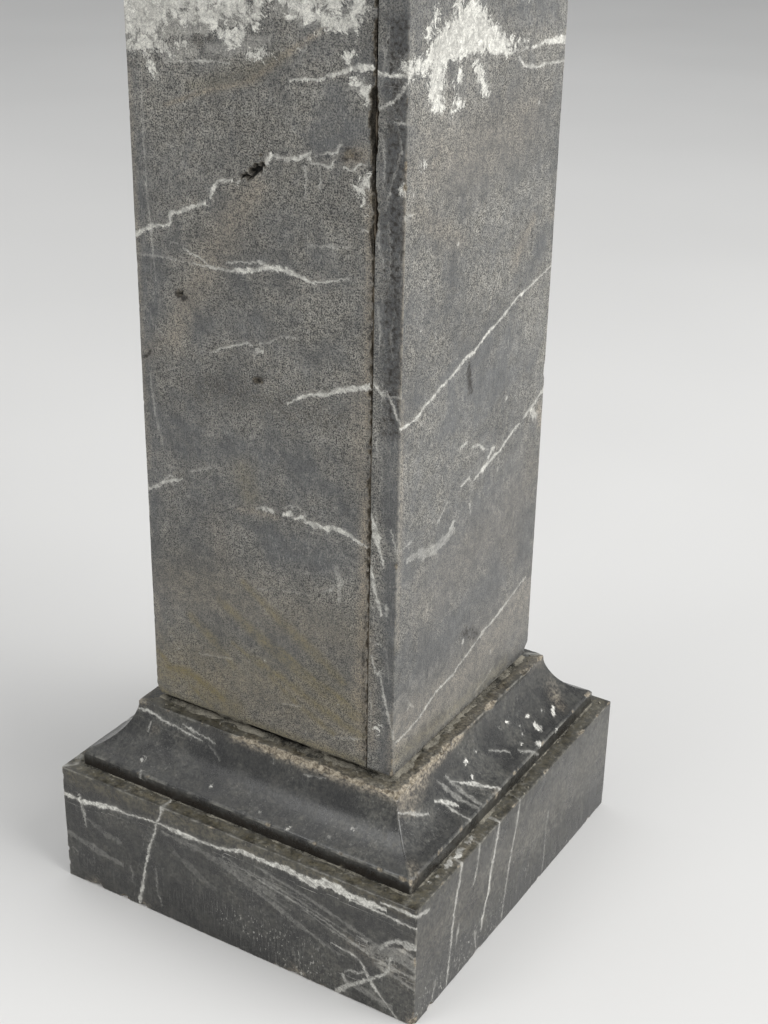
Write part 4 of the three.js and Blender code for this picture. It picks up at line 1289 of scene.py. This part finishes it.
def material(name):
    """The named material, made on first use."""
    if name in bpy.data.materials:
        return bpy.data.materials[name]
    finish = bpy.context.scene.pedestal_finish
    if name == "black_marble_honed":
        return marble(name, HONED, finish.honed_dark, finish.honed_light, finish.honed_close)
    if name == "black_marble_polished":
        return marble(name, POLISHED, finish.polished_dark, finish.polished_light, finish.polished_close)
    if name == "lime_mortar":
        return earthy(name, finish.mortar, finish.mortar_dark, 0.95, 0.0005)
    return earthy(name, finish.joint, finish.soil, 0.8, 0.0002)


def shade(name, description, code):
    """A colour property with an sRGB hex default."""
    return FloatVectorProperty(
        name=name, description=description, default=linear(code), subtype="COLOR", size=4, min=0, max=1
    )


def distance(name, description, default):
    """A length property in metres."""
    return FloatProperty(
        name=name, description=description, default=default, min=0, unit="LENGTH", precision=4
    )


class PedestalSizes(bpy.types.PropertyGroup):
    """Sizes that the frame leaves open."""

    near_step: distance("Near mesh step", "Spacing of the mesh on the front and right sides", 0.0016)
    far_step: distance("Far mesh step", "Spacing of the mesh on the back and left sides", 0.0032)
    inner_step: distance("Inner mesh step", "Spacing of the mesh on faces inside the shaft", 0.014)
    slab_arris: distance("Slab arris", "Mean radius of the shaft's worn arrises", 0.0007)
    plinth_arris: distance("Plinth arris", "Mean radius of the plinth's worn arrises", 0.0008)
    low_fillet: distance("Low fillet", "Height of the flat band under the base moulding's cove", 0.0105)
    top_fillet: distance("Top fillet", "Height of the flat band over the base moulding's cove", 0.004)
    cove_radius: distance("Cove radius", "Radius of the base moulding's hollow", 0.047)
    cap_fillet: distance("Cap fillet", "Height of the cap's two flat bands", 0.007)
    cap_radius: distance("Cap cove radius", "Radius of the cap's hollow", 0.034)
    bed_width: distance("Bed width", "How far the mortar bed reaches inwards", 0.021)
    crumb_size: distance("Crumb size", "Radius of the largest crumb of mortar", 0.0014)
    crumb_seed: IntProperty(name="Crumb seed", description="Seed of the scattered crumbs", default=7)


class PedestalFinish(bpy.types.PropertyGroup):
    """Colours of the stone, its marks and its joints."""

    honed_dark: shade("Honed grain, dark", "Pits of the open grain", "#2f2f2f")
    honed_light: shade("Honed grain, light", "Pale grains of the honed face", "#96948d")
    honed_close: shade("Honed ground", "Dense parts of the honed face", "#4d4f51")
    polished_dark: shade("Polished clouds, dark", "Deep black of the polished stone", "#1a1a19")
    polished_light: shade("Polished clouds, pale", "Grey clouding of the polished stone", "#444440")
    polished_close: shade("Polished ground", "Dense parts of the polished stone", "#1e1e1e")
    vein_white: shade("Calcite", "Clean calcite of the veins and masses", "#efede4")
    vein_grey: shade("Grey calcite", "Greyed calcite inside the masses", "#aeaca5")
    clay: shade("Clay stain", "Pinkish beige stain and crushed stone", "#948877")
    clay_pale: shade("Crushed stone, pale", "Light grains where the stone has broken", "#aea491")
    clay_deep: shade("Crushed stone, deep", "Soil between the grains where the stone has broken", "#5a5042")
    olive: shade("Olive stain", "Ochre damp stain low on the shaft", "#807552")
    umber: shade("Umber spots", "Dark brown spots and cracks", "#1f1a15")
    rubbed: shade("Rubbed stone", "Stone bruised pale along arrises", "#85837b")
    dust: shade("Dust", "Dust lying on the ledges", "#4e4d49")
    soil: shade("Soil", "Black soil in open joints", "#14130f")
    mortar: shade("Mortar", "Pale mortar", "#8f8a7d")
    mortar_dark: shade("Damp mortar", "Dark parts of the mortar", "#2f2e2a")
    joint: shade("Joint filling", "Old filling in the upright joints", "#6a6052")
    floor: shade("Floor", "Pale studio floor", "#dad9d7")


# Studio, in metres and degrees
SENSOR = 36.0
LENS = 58.3643
CAMERA_AT = (0.564419, -0.891234, 0.794482)
CAMERA_TURN = (64.10334522, -0.99212864, 31.45942519)
WORLD_COLOUR = "#f4f6f8"
WALL_LIGHT = 0.8
CEILING_LIGHT = 0.4
LIGHTS = [
    ("key", (-0.8, -2.05, 2.15), (0, 0, 0.3), (1.1, 1.1), 14),
    ("side", (3.0, 0.4, 2.3), (0, 0, 0.3), (3.4, 3.4), 149),
    ("top", (-0.8, -0.3, 3.6), (0, 0, 0), (3.8, 3.8), 38),
]
FLOOR_RADIUS = 8.0
FLOOR_SIDES = 96
FAR_CLIP = 60
# Height in the sky, from 0 at the horizon to 1, where the walls end
CEILING_FROM = 0.7


class PEDESTAL_OT_stage(bpy.types.Operator):
    """Sets up the camera, the soft lights and the pale floor"""

    bl_idname = "pedestal.stage"
    bl_label = "Camera, light and floor"

    def execute(self, context):
        scene = context.scene
        lens = bpy.data.cameras.new("camera")
        lens.sensor_fit = "AUTO"
        lens.sensor_width = SENSOR
        lens.lens = LENS
        lens.clip_end = FAR_CLIP
        camera = bpy.data.objects.new("camera", lens)
        camera.location = CAMERA_AT
        camera.rotation_euler = Euler([math.radians(a) for a in CAMERA_TURN])
        scene.collection.objects.link(camera)
        scene.camera = camera
        scene.view_settings.view_transform = "Standard"
        world = bpy.data.worlds.new("studio")
        world.use_nodes = True
        tree = world.node_tree
        height = add(tree, PARTS, add(tree, "ShaderNodeTexCoord", out="Generated")).node.outputs["Z"]
        strength = add(tree, RANGE, height, 0.0, CEILING_FROM, WALL_LIGHT, CEILING_LIGHT)
        sky = tree.nodes["Background"]
        sky.inputs["Color"].default_value = linear(WORLD_COLOUR)
        tree.links.new(strength, sky.inputs["Strength"])
        scene.world = world
        for name, at, towards, size, power in LIGHTS:
            lamp = bpy.data.lights.new(name, "AREA")
            lamp.shape = "RECTANGLE"
            lamp.size, lamp.size_y = size
            lamp.energy = power
            holder = bpy.data.objects.new(name, lamp)
            holder.location = at
            aim = np.array(towards, float) - np.array(at, float)
            holder.rotation_euler = Vector(aim).to_track_quat("-Z", "Y").to_euler()
            scene.collection.objects.link(holder)
        self.floor(scene)
        return {"FINISHED"}

    def floor(self, scene):
        """A wide round floor, so that the camera sees nothing else behind the column."""
        turns = [math.tau * i / FLOOR_SIDES for i in range(FLOOR_SIDES)]
        rim = [(FLOOR_RADIUS * math.cos(a), FLOOR_RADIUS * math.sin(a), 0) for a in turns]
        mesh = bpy.data.meshes.new("floor")
        mesh.from_pydata(rim, [], [tuple(range(FLOOR_SIDES))])
        stuff = bpy.data.materials.new("studio_floor")
        stuff.use_nodes = True
        tree = stuff.node_tree
        shader = tree.nodes["Principled BSDF"]
        shader.inputs["Roughness"].default_value = 0.9
        shader.inputs["Specular IOR Level"].default_value = 0.1
        place = add(tree, "ShaderNodeTexCoord", out="Object")
        fold = add(tree, NOISE, place, 1.3, 2.0, 0.5)
        tone = add(tree, RANGE, fold, 0.3, 0.7, 0.97, 1.03)
        colour = add(tree, MIX, 1.0, scene.pedestal_finish.floor, tone, blend_type="MULTIPLY")
        tree.links.new(colour, shader.inputs["Base Color"])
        mesh.materials.append(stuff)
        floor = bpy.data.objects.new("floor", mesh)
        scene.collection.objects.link(floor)
        return floor


def square_plan(half, near, far):
    """The plan of a square course, for an outline in millimetres: fine in front and at the right."""
    plan = rectangle((-half, -half), (half, half), (near, near, far, far))
    plan[:, :2] /= half
    return plan


# Nicks of handling: how many along each arris, and the largest radius in millimetres
NICKS = {
    "plinth foot": (14, 2.2), "plinth top": (7, 1.3), "plinth corner": (4, 1.6), "moulding top": (12, 2.4),
    "moulding fillet": (10, 1.4), "cap rim": (6, 1.6), "cap foot": (5, 1.6), "shaft corner": (16, 1.5),
    "slab foot": (8, 1.8), "slab rim": (8, 2.4), "slab corner": (2, 1.8),
}


def round_edges(half, z, kind):
    """Arrises all round a square course at one height, for nicks."""
    corners = [(-half, -half, z), (half, -half, z), (half, half, z), (-half, half, z), (-half, -half, z)]
    return [(a, b, *NICKS[kind]) for a, b in zip(corners, corners[1:])]


def upright_edges(half, z0, z1, kind):
    """The four upright arrises of a square course, for nicks."""
    corners = [(-half, -half), (half, -half), (half, half), (-half, half)]
    return [((x, y, z0), (x, y, z1), *NICKS[kind]) for x, y in corners]


AXIS = (0, 0, 0)
LEDGE_OVERLAP = 3.0
MOULDING_STEP = 1.3
MOULDING_ARRIS = 1.0
NECK = 10.0
BEVEL = 1.5
EDGE = 0.7
CAP_NECK = 4.0
CAP_STEP = 2.6
TOP_STEP = 16
# The part of a slab's end that a coarse mesh covers, as a share of its half width
SLAB_CORE = 0.96
# Height above which the shaft's mesh is coarser
FINE_TO = 660.0


class PEDESTAL_OT_plinth(bpy.types.Operator):
    """Builds the square plinth, with its chipped foot and the ledge round the moulding"""

    bl_idname = "pedestal.plinth"
    bl_label = "Plinth"

    def execute(self, context):
        sizes = context.scene.pedestal_sizes
        near, far = sizes.near_step * MM, sizes.far_step * MM
        low, high = box_mm("plinth")
        half, z0, z1 = high[0], low[2], high[2]
        rim = half - EASED[-1]
        under = box_mm("base_moulding")[1][0] - LEDGE_OVERLAP
        corners = [(0, z0, None), (rim, z0, near), (half, z0, near), (half, z1, near), (under, z1, None)]
        outline = outline_of(corners + [(0, z1, None)], half)
        stone = material("black_marble_polished")
        piece = sweep("plinth_stone", square_plan(half, near, far), outline, AXIS, stone)
        nicks = round_edges(half, z0, "plinth foot") + round_edges(half, z1, "plinth top")
        nicks += upright_edges(half, z0, z1, "plinth corner")
        radius = sizes.plinth_arris * MM
        finish_stone(piece, "plinth", nicks, radius, (low, high), ("back", "left"))
        return {"FINISHED"}


class PEDESTAL_OT_mouldings(bpy.types.Operator):
    """Builds the hollow moulding at the foot of the shaft and the one under the top slab"""

    bl_idname = "pedestal.mouldings"
    bl_label = "Base and cap mouldings"

    def execute(self, context):
        sizes = context.scene.pedestal_sizes
        far, shaft = sizes.far_step * MM, box_mm("shaft_right_slab")[1][0]
        low, high = box_mm("base_moulding")
        foot, z0, z1 = high[0], low[2], high[2]
        band, top = sizes.low_fillet * MM, sizes.top_fillet * MM
        neck = shaft + NECK
        under = box_mm("mortar_bed")[1][0] - LEDGE_OVERLAP
        ends = (foot - BEVEL, z0 + band + BEVEL), (neck, z1 - top)
        hollow = cove(*ends, sizes.cove_radius * MM, MOULDING_STEP)
        corners = [(0, z0, None), (foot - BEVEL, z0, None), (foot, z0, MOULDING_STEP)]
        corners += [(foot, z0 + band, None), *hollow[:-1], (neck, z1 - top, MOULDING_STEP)]
        corners += [(neck, z1 - EDGE, None), (neck - EDGE, z1, MOULDING_STEP), (under, z1, None)]
        outline = outline_of(corners + [(0, z1, None)], foot)
        plan = square_plan(foot, MOULDING_STEP, far)
        piece = sweep("base_moulding_stone", plan, outline, AXIS, material("black_marble_polished"))
        nicks = round_edges(neck, z1, "moulding top") + round_edges(foot, z0 + band, "moulding fillet")
        hidden = ("back", "left")
        finish_stone(piece, "base_moulding", nicks, MOULDING_ARRIS, wild_sides=hidden)

        low, high = box_mm("cap_moulding")
        wide, z0, z1 = high[0], low[2], high[2]
        band = sizes.cap_fillet * MM
        narrow = shaft + CAP_NECK
        hollow = cove((narrow, z0 + band), (wide - BEVEL, z1 - band), sizes.cap_radius * MM, CAP_STEP)
        corners = [(0, z0, None), (narrow - EDGE, z0, None), (narrow, z0 + EDGE, CAP_STEP), *hollow]
        corners += [(wide, z1 - band + BEVEL, CAP_STEP), (wide, z1 - EDGE, None), (wide - EDGE, z1, None)]
        outline = outline_of(corners + [(0, z1, None)], narrow)
        plan = square_plan(wide, CAP_STEP, far)
        piece = sweep("cap_moulding_stone", plan, outline, AXIS, material("black_marble_honed"))
        nicks = round_edges(wide, z1 - band, "cap rim") + round_edges(narrow, z0, "cap foot")
        finish_stone(piece, "cap_moulding", nicks, MOULDING_ARRIS, wild_sides=SIDES)
        return {"FINISHED"}


class PEDESTAL_OT_shaft(bpy.types.Operator):
    """Builds the four upright slabs of the hollow shaft, with their chipped arrises and seams"""

    bl_idname = "pedestal.shaft"
    bl_label = "Shaft slabs"

    def execute(self, context):
        sizes = context.scene.pedestal_sizes
        near, far, inside = sizes.near_step * MM, sizes.far_step * MM, sizes.inner_step * MM
        end = (near + far) / 2
        steps = {
            "shaft_front_slab": (near, inside, inside, end),
            "shaft_right_slab": (near, near, far, inside),
            "shaft_back_slab": (inside, inside, far, end),
            "shaft_left_slab": (inside, inside, inside, far),
        }
        for node, spacing in steps.items():
            low, high = box_mm(node)
            z0, z1 = low[2], high[2]
            middle, half = (low + high) / 2, (high - low) / 2
            plan = rectangle(tuple(-half[:2]), tuple(half[:2]), spacing)
            fine = near if node in ("shaft_front_slab", "shaft_right_slab") else far
            corners = [(0, z0, None), (SLAB_CORE, z0, None), (1, z0, fine), (1, FINE_TO, far)]
            corners += [(1, z1, None), (SLAB_CORE, z1, None), (0, z1, None)]
            outline, centre = outline_of(corners, 1 - z0), (middle[0], middle[1], 0)
            piece = sweep(node + "_stone", plan, outline, centre, material("black_marble_honed"))
            edges = upright_edges(high[0] if "right" in node else -low[0], z0, z1, "shaft corner")
            nicks = [e for e in edges if (low - 1 < e[0]).all() and (e[0] < high + 1).all()]
            wild = ("left",) if node == "shaft_front_slab" else ("back", "left")
            finish_stone(piece, node, nicks, sizes.slab_arris * MM, (low, high), wild)
        return {"FINISHED"}


class PEDESTAL_OT_top(bpy.types.Operator):
    """Builds the plain square slab on top"""

    bl_idname = "pedestal.top"
    bl_label = "Top slab"

    def execute(self, context):
        low, high = box_mm("top_slab")
        half, z0, z1 = high[0], low[2], high[2]
        rim = half - EASED[-1]
        corners = [(0, z0, None), (rim, z0, CAP_STEP), (half, z0, CAP_STEP), (half, z1, CAP_STEP)]
        outline = outline_of(corners + [(rim, z1, TOP_STEP), (0, z1, None)], half)
        plan = square_plan(half, CAP_STEP, CAP_STEP)
        piece = sweep("top_slab_stone", plan, outline, AXIS, material("black_marble_honed"))
        nicks = round_edges(half, z0, "slab foot") + round_edges(half, z1, "slab rim")
        nicks += upright_edges(half, z0, z1, "slab corner")
        radius = context.scene.pedestal_sizes.slab_arris * MM
        finish_stone(piece, "top_slab", nicks, radius, (low, high), SIDES)
        return {"FINISHED"}


# Where the mortar bed has fallen out at the front, and the shapes of the joints, in millimetres
GAP = (-21.0, 29.0)
GAP_EDGE = 2
GAP_DEPTH = 10.5
BED_STEPS = (1.4, 1.8, 4.0)
JOINT_GRIP = 0.25
JOINT_SUNK = 0.35
JOINT_STEPS = (2.2, 6)
JOINT_OPENS = (280.0, 560.0)
JOINT_SEED = 60
ON_FACE = 0.1
CRUST_ROWS = 7
CRUST_STEPS = (1.5, 2.6)
CRUST_SKIN = 0.05
CRUST_KEY = 0.4
# Rings of caked dirt: (how far inside and outside the joint, height of the heap, seed)
CRUSTS = {"foot_mortar": (1, 7, 2.6, 5), "plinth_mortar": (1, 2.6, 1.3, 9)}


class PEDESTAL_OT_mortar(bpy.types.Operator):
    """Builds the mortar bed under the shaft, the filling of the seams, and the caked dirt on both ledges"""

    bl_idname = "pedestal.mortar"
    bl_label = "Mortar, seams and dirt"

    def execute(self, context):
        self.bed(context)
        self.seams()
        low, high = box_mm("base_moulding")
        self.crust("foot_mortar", box_mm("mortar_bed")[1][0], high[2])
        self.crust("plinth_mortar", high[0], low[2])
        return {"FINISHED"}

    def bed(self, context):
        """The bed under the shaft, set back unevenly and open in the gap."""
        low, high = box_mm("mortar_bed")
        half, z0, z1 = high[0], low[2], high[2]
        inner = half - context.scene.pedestal_sizes.bed_width * MM
        up, near, far = BED_STEPS
        corners = [(inner, z0, None), (half, z0, up), (half, z1, None), (inner, z1, None), (inner, z0, None)]
        outline = outline_of(corners, half - inner)
        piece = sweep("mortar_bed_lime", square_plan(half, near, far), outline, AXIS, material("lime_mortar"))
        points = read(piece.data.vertices, "co", 3)
        outer = np.abs(points[:, :2]).max(axis=1) > half - ON_FACE
        across = points[:, 0] + 5 * (solid_noise(points, 4, 3) - 0.5)
        start, stop = (smooth(across, edge - GAP_EDGE, edge + GAP_EDGE) for edge in GAP)
        front = outer & (points[:, 1] < -half + ON_FACE)
        points[front, 1] += (GAP_DEPTH * (start * (1 - stop)))[front]
        sunk = 2.2 * smooth(solid_noise(points, 13, 4), 0.3, 0.8) + 1.4 * solid_noise(points, 2.5, 5)
        points[outer, :2] *= (1 - sunk / half)[outer, None]
        hand_over(piece, points, "mortar_bed")

    def seams(self):
        """The filling of the four upright joints, sunk deeper where the seam has opened."""
        right, front, left = (box_mm(f"shaft_{side}_slab") for side in ("right", "front", "left"))
        z0, z1 = right[0][2], right[1][2]
        side = (front[1][0] - JOINT_GRIP, right[0][0] + JOINT_GRIP)
        inner = (front[1][1] - JOINT_GRIP, left[0][1] + JOINT_GRIP)
        out, deep = right[1][0] - JOINT_SUNK, right[0][0] + 1
        places = {
            "seam_front": ((side[0], -out), (side[1], -deep)),
            "seam_back": ((side[0], deep), (side[1], out)),
            "seam_left_front": ((-out, inner[0]), (-deep, inner[1])),
            "seam_left_back": ((-out, -inner[1]), (-deep, -inner[0])),
        }
        up, along = JOINT_STEPS
        for seed, (name, (low, high)) in enumerate(places.items(), JOINT_SEED):
            low, high = np.array(low), np.array(high)
            middle, half = (low + high) / 2, (high - low) / 2
            plan = rectangle(tuple(-half), tuple(half), (along,) * 4)
            outline = outline_of([(0, z0, None), (1, z0, up), (1, z1, None), (0, z1, None)], 1 - z0)
            piece = sweep(name, plan, outline, (*middle, 0), material("joint_filling"))
            points = read(piece.data.vertices, "co", 3)
            rough = smooth(solid_noise(points, 9, seed), 0.35, 0.75)
            shallow = (0.25 + smooth(points[:, 2], *JOINT_OPENS)) * rough + 0.6 * solid_noise(points, 2, 6)
            thin = int(np.argmax(half))
            outer = np.abs(points[:, thin]) > out - ON_FACE
            points[outer, thin] -= (np.sign(points[:, thin]) * shallow)[outer]
            hand_over(piece, points)

    def crust(self, name, joint, z):
        """A ring of caked dirt and mortar against a joint, thin and uneven outwards."""
        inside, outside, height, seed = CRUSTS[name]
        inner, outer, foot = joint - inside, joint + outside, z - CRUST_KEY
        halves = [inner + (outer - inner) * i / CRUST_ROWS for i in range(CRUST_ROWS, -1, -1)]
        corners = [(inner, foot, None), (outer, foot, None), *((h, z + CRUST_SKIN, None) for h in halves)]
        outline = outline_of(corners + [(inner, foot, None)], 0)
        piece = sweep(name, square_plan(outer, *CRUST_STEPS), outline, AXIS, material("lime_mortar"))
        points = read(piece.data.vertices, "co", 3)
        share = np.clip((np.abs(points[:, :2]).max(axis=1) - inner) / (outer - inner), 0, 1)
        top = points[:, 2] > z
        lumps = 0.55 * solid_noise(points, 11, seed) + 0.45 * solid_noise(points, 3, seed + 1)
        fine = solid_noise(points, 1.3, seed + 2) - 0.5
        heap = height * np.clip(1.35 * lumps - 0.15 - share, -0.3, 1) + 0.35 * fine
        points[top, 2] += heap[top]
        hand_over(piece, points)


CRUMB_DENSITY = 14.0
SMALLEST_CRUMB = 0.25
CRUMB_GRID = 5
# How likely crumbs are at the joint, part of the way out and at the rim
CRUMBS_OUTWARDS = (1.0, 0.5, 0.12)
FEWER_ON_PLINTH = 0.35


class PEDESTAL_OT_crumbs(bpy.types.Operator):
    """Scatters crumbs of mortar over both ledges"""

    bl_idname = "pedestal.crumbs"
    bl_label = "Crumbs on the ledges"

    def execute(self, context):
        sizes = context.scene.pedestal_sizes
        plinth, moulding, bed = (box_mm(node)[1] for node in ("plinth", "base_moulding", "mortar_bed"))
        neck = box_mm("shaft_right_slab")[1][0] + NECK
        spots, faces, likely = [], [], []
        ledges = [
            (bed[0] + 1, neck - 1, moulding[2], 1.0),
            (moulding[0] + 0.5, plinth[0] - 1, plinth[2], FEWER_ON_PLINTH),
        ]
        for inner, outer, z, share in ledges:
            plan = square_plan(inner, CRUMB_GRID, CRUMB_GRID)
            many = len(plan)
            for half, chance in zip((inner, (inner * 2 + outer) / 3, outer), CRUMBS_OUTWARDS):
                spots += [(x * half, y * half, z) for x, y, _ in plan]
                likely += [share * chance] * many
            for first in (len(spots) - 3 * many, len(spots) - 2 * many):
                faces += [(c, c + many, c + many + 1, c + 1) for c in range(first, first + many - 1)]
        mesh = bpy.data.meshes.new("ledge")
        mesh.from_pydata(spots, [], faces)
        chance = np.array(likely) * smooth(solid_noise(np.array(spots), 16, 2), 0.25, 0.8)
        layer = mesh.attributes.new("likely", "FLOAT", "POINT")
        layer.data.foreach_set("value", chance.astype(np.float32))
        ledge = bpy.data.objects.new("ledge", mesh)
        context.scene.collection.objects.link(ledge)
        values = {
            "Ledge": ledge,
            "Crumbs in a square centimetre": CRUMB_DENSITY,
            "Smallest": SMALLEST_CRUMB,
            "Largest": sizes.crumb_size * MM,
            "Seed": sizes.crumb_seed,
            "Mortar": material("lime_mortar"),
        }
        piece = grown("crumbs", crumb_tree(), values)
        drop(ledge)
        hand_over(piece, read(piece.data.vertices, "co", 3))
        return {"FINISHED"}


class PEDESTAL_PT_panel(bpy.types.Panel):
    """Sizes, colours and building steps of the pedestal"""

    bl_idname = "PEDESTAL_PT_panel"
    bl_label = "Marble pedestal"
    bl_space_type = "VIEW_3D"
    bl_region_type = "UI"
    bl_category = "Pedestal"

    def draw(self, context):
        for settings in (context.scene.pedestal_sizes, context.scene.pedestal_finish):
            column = self.layout.column(align=True)
            for name in settings.__annotations__:
                column.prop(settings, name)
        for step in STEPS:
            self.layout.operator(step.bl_idname)


STEPS = (
    PEDESTAL_OT_stage,
    PEDESTAL_OT_plinth,
    PEDESTAL_OT_mouldings,
    PEDESTAL_OT_shaft,
    PEDESTAL_OT_top,
    PEDESTAL_OT_mortar,
    PEDESTAL_OT_crumbs,
)
CLASSES = (PedestalSizes, PedestalFinish, *STEPS, PEDESTAL_PT_panel)


def register():
    for kind in CLASSES:
        bpy.utils.register_class(kind)
    bpy.types.Scene.pedestal_sizes = PointerProperty(type=PedestalSizes)
    bpy.types.Scene.pedestal_finish = PointerProperty(type=PedestalFinish)


def unregister():
    del bpy.types.Scene.pedestal_finish
    del bpy.types.Scene.pedestal_sizes
    for kind in reversed(CLASSES):
        bpy.utils.unregister_class(kind)


def main():
    """Builds every piece."""
    register()
    for step in STEPS:
        group, action = step.bl_idname.split(".")
        getattr(getattr(bpy.ops, group), action)()


if __name__ == "__main__":
    main()
